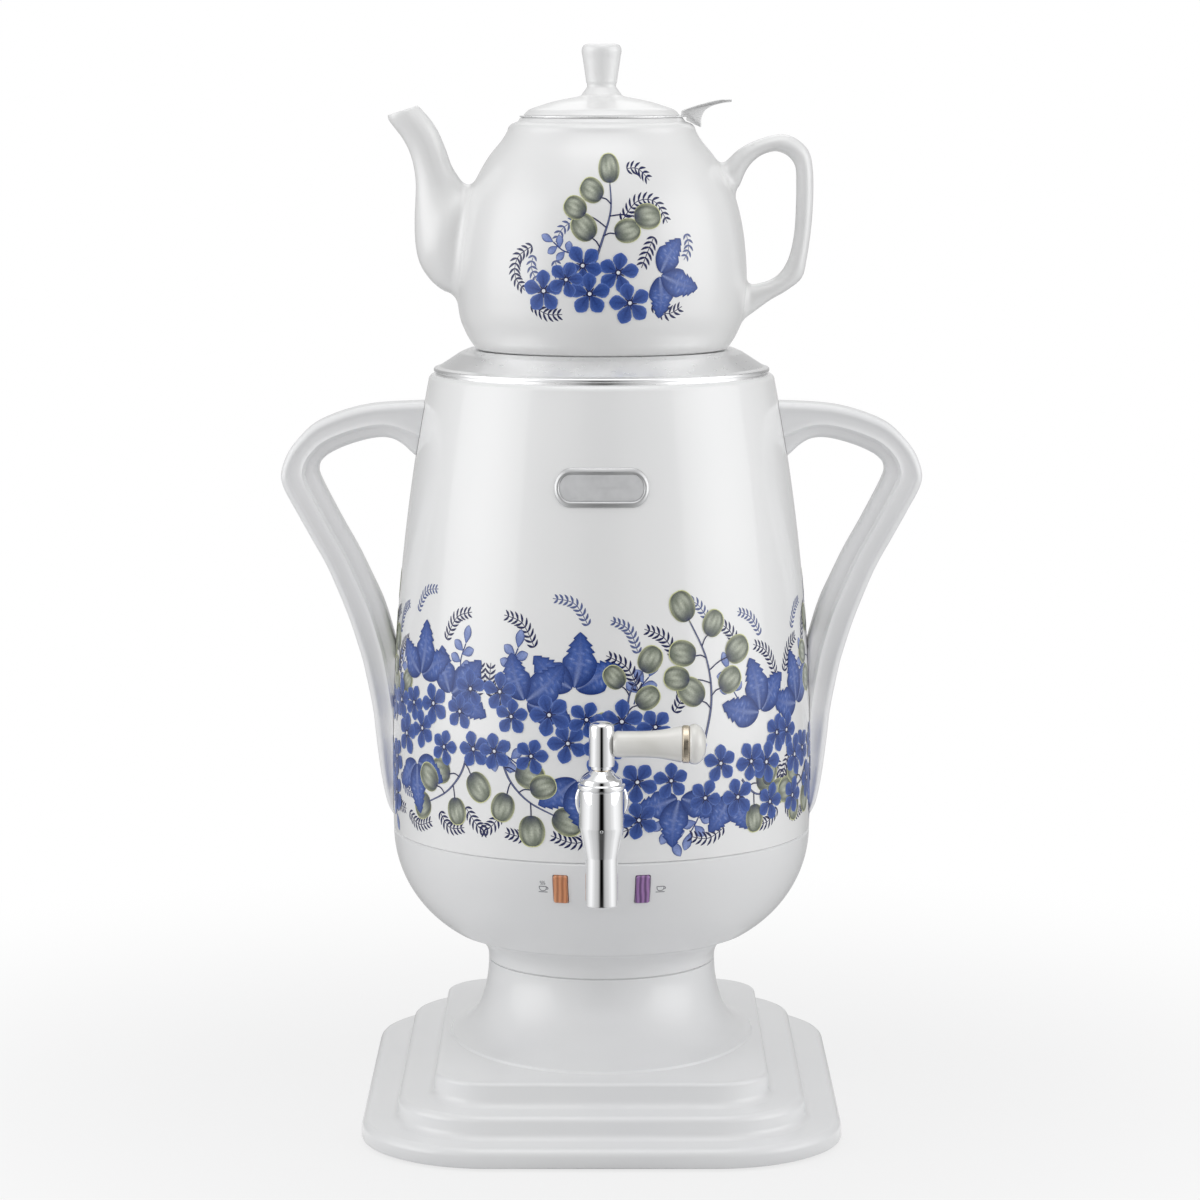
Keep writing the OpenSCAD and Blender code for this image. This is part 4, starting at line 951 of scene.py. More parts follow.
bead_line = [(0, bead_z), (7.5, bead_z), (8.0, bead_z + 0.25), (8.35, bead_z + 0.9)]
bead_line += bezier((8.55, bead_z + 1.8), (8.8, bead_z + 4.6), (5.8, bead_z + bead_l), (0, bead_z + bead_l))
bead = lathe("lever_bead_turned", bead_line, 96, place=on_lever)
fit(bead, ivory_plastic, "tap_handle", ["lever_bead"])

# %% [markdown]
# ## The steel cover
# A pressed and polished stainless sheet closes the boiler and carries the teapot. It
# has a hemmed rim, a sloping shoulder, a flat seat with a raised edge that keeps the pot
# from sliding, and a hole in the middle that lets the steam warm the pot. Below hangs a
# skirt that centres it in the tank. One closed outline, turned, gives both faces of the
# sheet at once. Turned stainless shows very fine rings, so its roughness changes quickly
# with the height and slowly round the axis.

# %% Cover
cover_r, cover_z, seat_r, seat_z, steam_r, skirt_r = 74.6, 329, 57.4, 338.5, 34, 69.9
cover_line = filleted([
    (skirt_r, cover_z - 9), (skirt_r, cover_z, 0.4), (cover_r, cover_z, 0.5), (cover_r, cover_z + 1.5, 0.9),
    (cover_r - 2.6, cover_z + 2.3, 3), (seat_r + 5.4, seat_z - 1.2, 8), (seat_r + 1.4, seat_z + 0.5, 0.9),
    (seat_r, seat_z + 0.05, 0.5), (seat_r - 1.5, seat_z - 0.02, 0.5), (steam_r + 2.4, seat_z - 0.02, 2),
    (steam_r, seat_z - 2, 1), (steam_r, seat_z - 5), (steam_r + 0.9, seat_z - 5),
    (steam_r + 0.9, seat_z - 2.2, 0.8), (steam_r + 2.8, seat_z - 1, 1), (seat_r - 0.8, seat_z - 1, 1),
    (seat_r + 5, seat_z - 2.3, 6), (cover_r - 3, cover_z + 1.1), (skirt_r - 1, cover_z + 1.1),
    (skirt_r - 1, cover_z - 9)])
cover = lathe("steel_cover", cover_line, 256, closed=True)
steel_sheet = new_finish("steel_sheet", (0.95, 0.953, 0.957), 0.3, metal=1.0)
worn(steel_sheet, 6.0, 0.27, 0.33, stretch=(1, 1, 6))
bumped(steel_sheet, 9.0, 0.004, detail=1.0)
fit(cover, steel_sheet, "cover", ["top_cover"])

# %% [markdown]
# ## The teapot
# The pot is white glazed porcelain: a foot ring, a round belly, a wide mouth, a spout
# that rises in a bend, and a handle like an ear, stuck on before firing. The body is
# turned, with its wall and its glazed inside. Spout and handle are tubes whose roots must
# flow into the belly. Joining meshes with a boolean would leave a hard crease there, so
# each line of a tube ends in a small curve that bends onto the belly.

# %% Teapot: body
pot_wall, pot_belly_r, mouth_r = 3.6, 64.4, 33.4
POT_FOOT = [(0, 2.4), (49, 2.4), (50, 1.2), (51, 0.25), (52.4, 0), (53.8, 0.1), (55.0, 0.5)]
POT_SIDE = [(56.0, 0.8), (57.6, 3.1), (59.7, 6.5), (62.8, 14), (64.1, 24), (pot_belly_r, 32), (63.9, 42),
            (62.5, 54), (59.5, 66.5), (55.2, 76), (50.0, 85), (44.6, 91.7), (42.0, 95.7), (41.0, 98.3),
            (39.6, 99.6)]
pot_side = smooth(POT_SIDE, 5)
pot_mouth = [(38.2, 100.15), (37.2, 100.5), (36.6, 101.1), (36.2, 101.8), (35.7, 102.3), (35.1, 102.5),
             (34.3, 102.5), (33.7, 102.2), (mouth_r, 101.5)]
pot_inner = [(mouth_r, 96.5)]
for k in range(len(pot_side) - 3, 3, -1):
    here, before, after = pot_side[k], pot_side[k - 1], pot_side[k + 1]
    across = (after - before).normalized()
    point = here + pot_wall * Vector((-across.y, across.x))
    if point.x > mouth_r and 7 < point.y < 95:
        pot_inner.append((point.x, point.y))
pot_inner += [(52.5, 5.2), (50, pot_wall + 0.6), (46, pot_wall), (0, pot_wall)]
pot_outline = POT_FOOT + [tuple(p) for p in pot_side] + pot_mouth + pot_inner
pot_outline = [(r, seat_z + h) for r, h in pot_outline]
pot = lathe("teapot_body", pot_outline, 256)

porcelain = new_finish("porcelain", (0.83, 0.833, 0.831), 0.3, coat=0.8, coat_rough=0.2)
tinted(porcelain, 80, (0.82, 0.823, 0.826))
bumped(porcelain, 9.0, 0.012, detail=1.0, coat_too=True)
fit(pot, porcelain, "pot", ["teapot"])

# %% [markdown]
# ## Tubes that grow out of the belly
# A tube is drawn as ovals between two edges. Each of its lines is followed from the tip
# to where it meets the belly; there it bends away onto the belly along a short curve.
# The curve's middle handle lies on the corner itself, which makes it leave the tube and
# meet the belly without a kink.

# %% Teapot: spout and handle tools
POT_HEIGHTS = [p.y for p in pot_side]
POT_RADII = [p.x for p in pot_side]


def pot_r(z):
    """Radius of the pot's outside at a height above the table."""
    return float(np.interp(z - seat_z, POT_HEIGHTS, POT_RADII))


def on_pot(point, proud=0.0):
    """The nearest place on the pot's side at the same height."""
    flat = Vector((point.x, point.y, 0)).normalized() * (pot_r(point.z) + proud)
    return Vector((flat.x, flat.y, point.z))


def tube_rings(edges, side, half_width, count):
    """Ovals between an outer and an inner edge; half_width takes the half height."""
    rings = []
    for e in smooth(edges):
        middle = Vector((e[0] + e[2], e[1] + e[3])) / 2
        half = Vector((e[0] - e[2], e[1] - e[3])) / 2
        wide = half_width(half.length)
        ring = []
        for k in range(count):
            a = 2 * math.pi * k / count
            p = middle + half * math.cos(a)
            ring.append(Vector((side * p.x, wide * math.sin(a), seat_z + p.y)))
        rings.append(ring)
    return rings


# %% Teapot: roots
ROOT_DEPTH = 1.2


def outside_pot(p):
    """Whether a point lies outside the pot's side."""
    return math.hypot(p.x, p.y) > pot_r(p.z)


def rooted_line(line, centres, reach):
    """One line of a tube, tip first, ended with a curve onto the pot."""
    inside = next(i for i, p in enumerate(line) if not outside_pot(p))
    low, high = line[inside], line[inside - 1]
    for _ in range(24):
        middle = (low + high) / 2
        if outside_pot(middle):
            high = middle
        else:
            low = middle
    corner = on_pot(high)
    away = corner - centres[inside]
    normal = Vector((corner.x, corner.y, 0)).normalized()
    away = (away - normal * away.dot(normal)).normalized()
    landing = on_pot(corner + away * reach, 0.02)
    kept = line[:inside]
    walked = 0.0
    joint = corner
    while kept and walked < reach:
        step = (kept[-1] - joint).length
        if walked + step > reach:
            joint = joint.lerp(kept[-1], (reach - walked) / step)
            walked = reach
        else:
            walked += step
            joint = kept.pop()
    curve = []
    for k in range(9):
        t = k / 8
        curve.append(joint * (1 - t) ** 2 + corner * 2 * t * (1 - t) + landing * t * t)
    return kept, curve + [on_pot(landing, -ROOT_DEPTH)]


def rooted_rings(rings, reach, count):
    """Rings of a tube, tip first, with its root flowing onto the pot."""
    centres = [sum(ring, Vector()) / len(ring) for ring in rings]
    lines = []
    for k in range(len(rings[0])):
        kept, curve = rooted_line([ring[k] for ring in rings], centres, reach)
        lines.append([Vector(p) for p in even(kept + curve[:1], count)] + curve[1:])
    return [list(ring) for ring in zip(*lines)]


# %% Teapot: spout
SPOUT_EDGES = [
    (60, 24.5, 44, 52), (66.5, 24.6, 47, 57), (72.5, 27.6, 50, 61), (77.5, 32.8, 53, 64.5),
    (80.9, 39, 55, 67.5), (82.5, 47, 57, 70), (82.8, 57, 58.8, 71.3), (82.4, 66, 60.5, 73),
    (82.2, 73.5, 62.6, 75.3), (83.2, 81.5, 66.2, 81), (85.2, 88, 69, 88.8), (88.1, 93.4, 72.4, 96.6),
    (91.3, 97.6, 76, 102), (94, 101.2, 79.6, 106), (94.4, 103, 81, 107.4)]
spout_rings = tube_rings(SPOUT_EDGES, -1, lambda half: 0.8 * half, 64)[::-1]
outer_rings = rooted_rings(spout_rings, 5.5, 60)


def shrunk(ring, by, back):
    """A ring drawn in by a wall and moved back along the tube."""
    middle = sum(ring, Vector()) / len(ring)
    return [p + (middle - p).normalized() * by + back for p in ring]


inward = (sum(outer_rings[3], Vector()) - sum(outer_rings[0], Vector())).normalized()
lip_rings = [shrunk(outer_rings[0], 0.25, -inward * 0.25), shrunk(outer_rings[0], 0.9, -inward * 0.3),
             shrunk(outer_rings[0], 1.5, inward * 0.1), shrunk(outer_rings[0], 1.9, inward * 0.9)]
bore_rings = [shrunk(outer_rings[i], 2.4, Vector()) for i in range(3, 46, 3)]
spout = make_mesh("teapot_spout_hollow", *skinned(bore_rings[::-1] + lip_rings[::-1] + outer_rings))
fit(spout, porcelain, "pot", ["teapot_spout"])

# %% Teapot: handle
GRIP_EDGES = [
    (58, 10, 56, 28), (66.5, 15.8, 62, 28.5), (74.5, 21.6, 68.5, 29), (82, 26, 75.2, 31),
    (88.8, 31.7, 79.8, 34.8), (91, 40.5, 83.2, 41.4), (92.7, 52.5, 85.3, 51.5), (93.6, 65, 86, 63),
    (93.5, 78.5, 86.1, 74), (91.8, 87, 85.7, 80.4), (87.2, 92.2, 83.6, 84.2), (81, 94.9, 80.2, 86.6),
    (74.6, 94.3, 75.8, 87.4), (67.3, 91.9, 69.4, 85), (60.6, 88.3, 64.2, 79.5),
    (55.2, 83.3, 60.3, 71.2), (50, 79, 55, 67)]
grip_rings = tube_rings(GRIP_EDGES, 1, lambda half: 5.8, 40)
middle_ring = len(grip_rings) // 2
lower_half = rooted_rings(grip_rings[middle_ring::-1], 3.5, 46)
upper_half = rooted_rings(grip_rings[middle_ring:], 4.0, 46)
ear = make_mesh("teapot_handle_ear", *skinned(lower_half[::-1] + upper_half[1:]))
fit(ear, porcelain, "pot", ["teapot_handle"])

# %% [markdown]
# ## The strainer
# A deep pierced steel basket hangs in the pot's mouth by a thin flange that the lid
# rests on. A bent tab reaches over the rim, so it can be lifted out while hot. The
# holes are real: each small cell of the wall is a square with an eight-sided hole, and
# the wall is thickened after that.

# %% Strainer: pierced wall
mouth_z = 441
basket_r, basket_h, basket_t, flange_t = 29, 56, 0.8, 0.6
rows, columns = 10, 44
wall_low, wall_high = mouth_z - basket_h + 4, mouth_z - 12
hole_share = 0.27


def wall_point(row, column, u, v):
    """Point of the basket's side, u and v along and up a cell."""
    a = 2 * math.pi * (column + u + 0.5 * (row % 2)) / columns
    z = wall_low + (wall_high - wall_low) * (row + v) / rows
    return (basket_r * math.cos(a), basket_r * math.sin(a), z)


def pierced_wall(hole):
    """Pierced part of the basket's side: in each cell eight faces run from the hole to the square."""
    rim = [(math.cos(math.radians(a)), math.sin(math.radians(a))) for a in range(45, 405, 45)]
    square = [[max(-1, min(1, 1.42 * way)) / 2 for way in place] for place in rim]
    points, faces = [], []
    for row in range(rows):
        for column in range(columns):
            start = len(points)
            points.extend(wall_point(row, column, 0.5 + x, 0.5 + y) for x, y in square)
            points.extend(wall_point(row, column, 0.5 + hole * x, 0.5 + hole * y) for x, y in rim)
            for k in range(8):
                n = (k + 1) % 8
                faces.append([start + k, start + n, start + 8 + n, start + 8 + k])
    return points, faces


basket = thickened(make_mesh("strainer_wall", *pierced_wall(hole_share)), basket_t)
fit(basket, steel_sheet, "tea_strainer", ["strainer"])


# %% Strainer: rim and tab
def drawn_in(outline, by):
    """Closed clockwise outline, drawn in by a distance."""
    moved = []
    for i, p in enumerate(outline):
        along = (outline[(i + 1) % len(outline)] - outline[i - 1]).normalized()
        moved.append(p + by * Vector((along.y, -along.x)))
    return moved


flange_r, tab_x = 36.2, 37
basket_inner = basket_r - basket_t
floor_z = mouth_z - basket_h
rim_points, rim_faces = turned(filleted([
    (basket_r, wall_high), (basket_r, mouth_z, 0.8), (flange_r, mouth_z, 0.1),
    (flange_r, mouth_z + flange_t, 0.2), (basket_r - 1.0, mouth_z + flange_t, 1.2),
    (basket_inner, wall_high)]), closed=True)
add_part(rim_points, rim_faces, turned(filleted([
    (basket_r, wall_low), (basket_r, floor_z, 1.5), (0.3, floor_z), (0.3, floor_z + basket_t),
    (basket_inner, floor_z + basket_t, 1), (basket_inner, wall_low)]), closed=True))
TAB = [(-2, 0.1), (-2, 0.6), (-1.6, 2.8, 0.8), (2.3, 4.3, 9), (7, 5.7, 9), (11.5, 6.9, 9), (15.8, 7.7, 9),
       (20.5, 7.85, 0.5), (20.5, 6.65, 0.5), (15.8, 6.1, 9), (11.6, 5, 9), (8.6, 3.2, 4), (7.3, 1, 4),
       (6.7, -1.6, 6), (7, -4.7, 0.5), (4.4, -3.4, 6), (2, -2.2, 6), (0.6, -1.4, 0.3), (0.6, 0.1)]
tab_line = filleted(TAB, 4)
rings = []
for side, inset in ((-1, 0.3), (-0.985, 0.08), (-0.955, 0), (0.955, 0), (0.985, 0.08), (1, 0.3)):
    ring = []
    for p in drawn_in(tab_line, inset):
        reach = max(0, p.x - 6) / 14.5
        half_width = 5.5 - 1.3 * reach - 1.6 * reach ** 8
        ring.append((tab_x + p.x, side * half_width, mouth_z + p.y))
    rings.append(ring)
add_part(rim_points, rim_faces, skinned(rings))
rim = make_mesh("strainer_rim_and_tab", rim_points, rim_faces)
bright_sheet = new_finish("bright_sheet", (0.86, 0.863, 0.865), 0.3, metal=0.4, coat=0.5)
worn(bright_sheet, 2.0, 0.25, 0.36, stretch=(1, 1, 6))
bumped(bright_sheet, 3.0, 0.004)
fit(rim, bright_sheet, "tea_strainer", ["strainer"])

# %% [markdown]
# ## The lid
# A shallow porcelain dome with a tall knob on a small cone; the knob swells towards its
# flat top. A ring below, inside the basket, keeps the lid from sliding off. It is turned
# in one outline.

# %% Lid
lid_z, lid_r = 441.6, 34.4
KNOB_FOOT = [(9.3, 8.8), (8.9, 9.15), (6.75, 12.1), (6.45, 12.6), (6.4, 13.3), (6.45, 14.0), (6.7, 14.4)]
KNOB = [(6.85, 14.9), (7.0, 16.2), (7.3, 18.3), (7.8, 21.6), (8.25, 24.7), (8.7, 27.2), (8.78, 28.5),
        (8.5, 29.9), (7.8, 30.9), (6.4, 31.38), (4, 31.48), (0, 31.48)]
DOME = [(34.35, 0.4), (33.9, 0.95), (33.0, 1.9), (32.0, 2.66), (30.3, 3.42), (27.5, 4.32), (24.8, 5.2),
        (21.9, 6.05), (18.2, 6.9), (13.8, 7.75), (10.4, 8.4)]
top_line = [(lid_r - 0.4, 0)] + smooth(DOME, 4) + KNOB_FOOT + smooth(KNOB, 4)
ring_outer, ring_inner = 27.9, 24.9
below = [(0, 7.2), (8, 7.0), (16, 6.0), (22, 4.2), (ring_inner, 2.6), (ring_inner, -6.4),
         (ring_inner + 0.6, -7), (ring_outer - 0.6, -7), (ring_outer, -6.4), (ring_outer, 0)]
lid_line = [(r, lid_z + h) for r, h in below + top_line]
lid = lathe("teapot_lid_knob", lid_line, 192)
fit(lid, porcelain, "lid", ["teapot_lid"])

# %% [markdown]
# ## The print
# Boiler and teapot carry a fired-on floral print in blue and olive, of the plain folk
# kind: flowers, toothed leaves, round leaves on stems, and fern sprigs. Such a print is
# brushed once by hand and then repeated as a transfer. It could be a picture laid over
# the body. Here every brush stroke is a sliver of mesh that hugs the surface, which
# stays sharp at any distance. A stroke is a line of places on the flat print, a half
# width, and an ink, and both change along the stroke. A complex number holds a place on
# the flat print: to turn it is one multiplication.

# %% Brush strokes
def new_sheet(lowest, level, levels):
    """An empty print whose motifs lie at a few heights above the surface, in millimetres."""
    return {"places": [], "inks": [], "heights": [], "faces": [], "motifs": 0,
            "lowest": lowest, "level": level, "levels": levels}


def next_level(sheet):
    """Height of the next motif: neighbours lie at different heights, so none cuts another."""
    sheet["motifs"] += 1
    return sheet["lowest"] + sheet["level"] * (sheet["motifs"] % sheet["levels"])


def brush_line(places, count):
    """Smooth line through places, with evenly spread points."""
    path = smooth([Vector((p.real, p.imag)) for p in places], 8)
    return [complex(x, y) for x, y in even(path, count)]


def stroke(sheet, height, line, half_width, ink, across):
    """One brush stroke; half_width takes the share along, ink the shares along and across."""
    start, count = len(sheet["places"]), len(line)
    for i, place in enumerate(line):
        t = i / (count - 1)
        ahead = line[min(i + 1, count - 1)] - line[max(i - 1, 0)]
        left = 1j * ahead / abs(ahead)
        for k in range(across + 1):
            s = 2 * k / across - 1
            sheet["places"].append(place + left * s * half_width(t))
            sheet["inks"].append(ink(t, s))
            sheet["heights"].append(height)
    for i in range(count - 1):
        for k in range(across):
            low = start + i * (across + 1) + k
            high = low + across + 1
            sheet["faces"].append([low, high, high + 1, low + 1])


def mixed_ink(a, b, share):
    """Ink a with a share of ink b in it."""
    share = min(max(share, 0), 1)
    return tuple(x + (y - x) * share for x, y in zip(a, b))


def bell(x, middle, spread):
    """Soft bump of height 1 round a middle."""
    return math.exp(-((x - middle) / spread) ** 2)


def eased(t):
    """Share along for a point of a straight line with finer ends."""
    return (1 - math.cos(math.pi * t)) / 2


def straight(place, angle, length, count):
    """Straight line of places from one place, with finer steps at both ends."""
    way = cmath.rect(length, math.radians(angle))
    return [place + way * eased(i / (count - 1)) for i in range(count)]


# %% [markdown]
# ## The motifs
# Each motif is one function that lays down strokes, so it can come back in any size and
# direction. A flower has five club-shaped petals, dark where the loaded brush first
# touched down and paler at their rims. Half-open buds are drops on a short stalk. A
# toothed leaf has a pale midrib and side veins. A round leaf is olive with a satin band
# across it, a navy touch at its stalk and a thin yellow rim. A fern sprig is a row of
# quick dabs on both sides of a curved line.

# %% Inks
COBALT, DEEP, NAVY = (0.040, 0.095, 0.36), (0.014, 0.040, 0.19), (0.012, 0.016, 0.085)
SKY, PALE_BLUE, WHITE = (0.13, 0.22, 0.58), (0.36, 0.44, 0.74), (0.78, 0.80, 0.84)
OLIVE, MOSS, SILVER = (0.20, 0.225, 0.175), (0.085, 0.10, 0.085), (0.56, 0.59, 0.49)
LIME, STALK, FADED = (0.66, 0.68, 0.36), (0.15, 0.18, 0.33), (0.11, 0.14, 0.30)


# %% Flower and buds
def petal_ink(t, s):
    """Ink of a petal: streaked at its foot and pale at its rim."""
    streak = (0.5 + 0.5 * math.cos(3 * math.pi * s)) * bell(t, 0.4, 0.3)
    ink = mixed_ink(COBALT, DEEP, 1.1 * (1 - t) ** 2 + 0.55 * streak)
    return mixed_ink(ink, SKY, 0.75 * abs(s) ** 4 + 0.55 * bell(t, 0.97, 0.09))


def dot(sheet, height, place, radius, ink):
    """Round dot of one ink."""
    stroke(sheet, height, straight(place - radius, 0, 2 * radius, 7),
           lambda t: radius * math.sin(math.pi * t), lambda t, s: ink, 2)


def flower(sheet, place, size, angle):
    """Five petals round a dark eye with a white dot."""
    height = next_level(sheet)
    for k in range(5):
        heading = angle + 72 * k + 4 * math.sin(7.3 * k + place.real)
        length = size * (0.5 + 0.025 * math.cos(5.1 * k + place.imag))
        line = straight(place + cmath.rect(0.03 * size, math.radians(heading)), heading, length, 9)
        stroke(sheet, height + 0.002 * k, line,
               lambda t: 0.19 * size * math.sin(math.pi * eased(t) ** 1.5) ** 0.75, petal_ink, 6)
    for k in range(5):
        line = straight(place, angle + 36 + 72 * k, 0.17 * size, 4)
        stroke(sheet, height + 0.01, line, lambda t: 0.022 * size * (1 - 0.6 * t), lambda t, s: NAVY, 1)
    dot(sheet, height + 0.012, place, 0.085 * size, NAVY)
    dot(sheet, height + 0.015, place, 0.045 * size, WHITE)


def bud_ink(t, s):
    """Ink of a bud: pale inside a dark outline."""
    ink = mixed_ink(PALE_BLUE, COBALT, 0.75 * (1 - t) + 0.1)
    return mixed_ink(ink, DEEP, abs(s) ** 4 + bell(t, 0, 0.15) + bell(t, 1, 0.1))


def buds(sheet, place, size, angle):
    """Half-open buds: drops with a dark outline on a short curved stalk."""
    height = next_level(sheet)
    stalk = brush_line([place, place + cmath.rect(0.45 * size, math.radians(angle + 12)),
                        place + cmath.rect(0.95 * size, math.radians(angle))], 9)
    stroke(sheet, height, stalk, lambda t: 0.28, lambda t, s: DEEP, 1)
    for spot, lean, long in ((8, 0, 0.6), (6, 62, 0.5), (5, -58, 0.52), (3, 74, 0.48), (2, -70, 0.45)):
        stroke(sheet, height + 0.001 * spot, straight(stalk[spot], angle + lean, long * size, 9),
               lambda t: 0.16 * size * math.sin(math.pi * eased(t) ** 1.3) ** 0.8, bud_ink, 6)


# %% Toothed leaves
def leaf_ink(t, s):
    """Ink of a toothed leaf, with its midrib and side veins."""
    vein = max(0, math.cos(2 * math.pi * 5.5 * (t - 0.28 * abs(s)))) ** 6
    ink = mixed_ink(COBALT, DEEP, 0.8 * bell(t, 0, 0.35) + 0.7 * abs(s) ** 3 + 0.5 * bell(t, 1, 0.2))
    ink = mixed_ink(ink, SKY, 0.4 * bell(abs(s), 0.45, 0.25) * bell(t, 0.5, 0.3))
    ink = mixed_ink(ink, PALE_BLUE, 0.8 * vein * bell(t, 0.5, 0.2) * bell(abs(s), 0.4, 0.2))
    return mixed_ink(ink, PALE_BLUE, 0.6 * bell(s, 0, 0.07) * (1 - t))


def leaf_width(t):
    """Half width in shares of the length: round near the stalk, toothed towards the tip."""
    tooth = (4 * (t - 0.5) / 0.5) % 1 if t > 0.5 else 0
    return 0.30 * math.sin(math.pi * t ** 0.85) ** 0.7 * (1.06 - (0.15 + 0.2 * t) * tooth)


def leaves(sheet, place, size, angle, spread, count):
    """Toothed leaves that open like a fan from one place."""
    height = next_level(sheet)
    for k in range(count):
        off = k - (count - 1) / 2
        way = cmath.rect(size * (1 - 0.08 * abs(off)), math.radians(angle + spread * off))
        start = place + 0.05 * way
        bend = 0.05 * way * 1j * (-1) ** k
        line = brush_line([start, start + way / 2 + bend, start + way], 46)
        stroke(sheet, height + 0.005 * k, line, lambda t: abs(way) * leaf_width(t), leaf_ink, 8)


# %% Round leaves on a stem
def round_ink(t, s):
    """Ink of a round leaf, with a satin band across."""
    sheen = bell(t + 0.12 * math.sin(5 * s), 0.55, 0.16)
    ink = mixed_ink(OLIVE, SILVER, 0.95 * sheen * (0.75 + 0.25 * math.cos(14 * s)))
    shade = 0.8 * bell(abs(s), 0.85, 0.25) + 0.7 * bell(t, 1, 0.2) + 0.35 * bell(t, 0.25, 0.14)
    ink = mixed_ink(ink, MOSS, shade)
    ink = mixed_ink(ink, NAVY, 0.95 * bell(t, 0.04, 0.24) * bell(s, 0, 0.75))
    return mixed_ink(ink, LIME, 0.3 * abs(s) ** 14)


def round_leaf(sheet, height, place, size, angle):
    """Round leaf over a slightly larger one that shows as its rim."""
    stroke(sheet, height, straight(place, angle, 1.03 * size, 13),
           lambda t: 0.44 * size * math.sin(math.pi * t) ** 0.85 + 0.16, lambda t, s: LIME, 4)
    stroke(sheet, height + 0.008, straight(place, angle, size, 15),
           lambda t: 0.44 * size * math.sin(math.pi * t) ** 0.85, round_ink, 8)


def branch(sheet, places, size, count, spread):
    """Curved stem with round leaves left and right and one at its tip; spread opens every second pair."""
    height = next_level(sheet)
    lean = 58
    stem = brush_line(places, 31)
    stroke(sheet, height, stem, lambda t: 0.6 - 0.3 * t, lambda t, s: mixed_ink(STALK, NAVY, abs(s)), 2)
    for k in range(count):
        spot = int(30 * (0.28 + 0.62 * k / count))
        ahead = cmath.phase(stem[spot + 1] - stem[spot])
        far = spread * (k % 4 > 1)
        heading = math.degrees(ahead) + lean * (1 + 0.7 * far) * (-1) ** k
        tip = stem[spot] + cmath.rect((0.4 + far) * size, math.radians(heading))
        bend = (stem[spot] + tip) / 2 + 0.06 * size * 1j
        stroke(sheet, height + 0.004, brush_line([stem[spot], bend, tip], 6),
               lambda t: 0.28, lambda t, s: NAVY, 1)
        round_leaf(sheet, height + 0.004 + 0.012 * k, tip, size * (1 - 0.06 * (k % 3)), heading)
    round_leaf(sheet, height, stem[-1], size, math.degrees(cmath.phase(stem[-1] - stem[-2])))


# %% Fern sprigs
def fern(sheet, places, leaflet=4.2, ink=NAVY):
    """Dabs in pairs along a curved line, shorter towards its tip."""
    height = next_level(sheet)
    length = sum(abs(b - a) for a, b in zip(places, places[1:]))
    pairs = max(4, round(length / 2.3))
    line = brush_line(places, pairs + 1)
    stroke(sheet, height, line, lambda t: 0.16, lambda t, s: ink, 1)
    for i in range(pairs):
        ahead = math.degrees(cmath.phase(line[i + 1] - line[i]))
        size = leaflet * (0.65 + 0.35 * math.sin(math.pi * (0.2 + 0.8 * i / pairs)))
        for side in (-1, 1):
            heading = ahead + 48 * side
            bent = line[i] + cmath.rect(0.5 * size, math.radians(heading + 10 * side))
            dab = brush_line([line[i], bent, line[i] + cmath.rect(size, math.radians(heading))], 6)
            stroke(sheet, height + 0.003, dab,
                   lambda t: 0.52 * math.sin(math.pi * (0.1 + 0.85 * t)), lambda t, s: ink, 2)


# %% [markdown]
# ## Laying out the spray and the band
# A layout is a table: for each kind of motif the places, sizes and angles, in the order
# of drawing. The teapot has one spray on its front. A stem of round leaves rises in the
# middle over a bunch of flowers, with toothed leaves to the right and fern sprigs and
# buds around. The band on the boiler repeats one strip of motifs four times round, and
# every second strip is a mirror image, as on a transfer. The places are given one by one,
# like those of any hand-drawn print.

# %% Drawing a layout
FADED_SIZE = 3.4


def three_sheets():
    """Sprigs lie lowest, leaves over them, flowers on top."""
    return new_sheet(0.045, 0.012, 5), new_sheet(0.11, 0.016, 6), new_sheet(0.21, 0.016, 7)


def draw(sheets, layout, at):
    """Draws a layout; at takes a place of the layout to one on the flat print."""
    sprigs, foliage, blooms = sheets
    for places in layout["ferns"]:
        fern(sprigs, [at(x, z) for x, z in places])
    for places in layout["faded ferns"]:
        fern(sprigs, [at(x, z) for x, z in places], FADED_SIZE, FADED)
    for x, z, size, angle in layout["buds"]:
        buds(sprigs, at(x, z), size, angle)
    for places, size, count, spread in layout["branches"]:
        branch(foliage, [at(x, z) for x, z in places], size, count, spread)
    for x, z, size, angle, spread, count in layout["leaves"]:
        leaves(foliage, at(x, z), size, angle, spread, count)
    for x, z, size, angle in layout["flowers"]:
        flower(blooms, at(x, z), size, angle)


# %% Spray for the pot
SPRAY_STRETCH, SPRAY_Z = 1.02, seat_z + 2
# Places are millimetres right of the pot's middle and above the spray's foot
SPRAY = {
    "ferns": (((9, 57), (16, 65), (25, 65), (30, 56)), ((13, 79), (19, 79), (24, 74)),
              ((-31, 46), (-38, 41), (-39, 33), (-34, 27)), ((23, 50), (20, 44), (17, 37)),
              ((-31, 21), (-24, 17), (-17, 17)), ((22, 21), (29, 17), (36, 20))),
    "faded ferns": (((-30, 42), (-31, 37), (-28, 31)), ((-20, 40), (-18, 34), (-14, 30)),
                    ((39, 51), (40, 45), (37, 40)), ((-10, 58), (-17, 54), (-20, 48))),
    "buds": ((-12, 43, 11, 152),),
    "branches": ((((-4, 36), (0, 48), (4, 61), (4, 73)), 12.4, 5, 0.5),),
    "leaves": ((25, 34, 19.5, -18, 72, 3),),
    "flowers": ((-25, 27, 17.5, 18), (-8, 38, 17, 52), (7, 35, 17, 5), (-5, 26, 17.5, 90),
                (12, 22, 17.5, 30), (-15, 32, 15, 70))}


def on_spray(x, z):
    """A place of the spray on the pot's print."""
    return complex(SPRAY_STRETCH * x, SPRAY_Z + z)


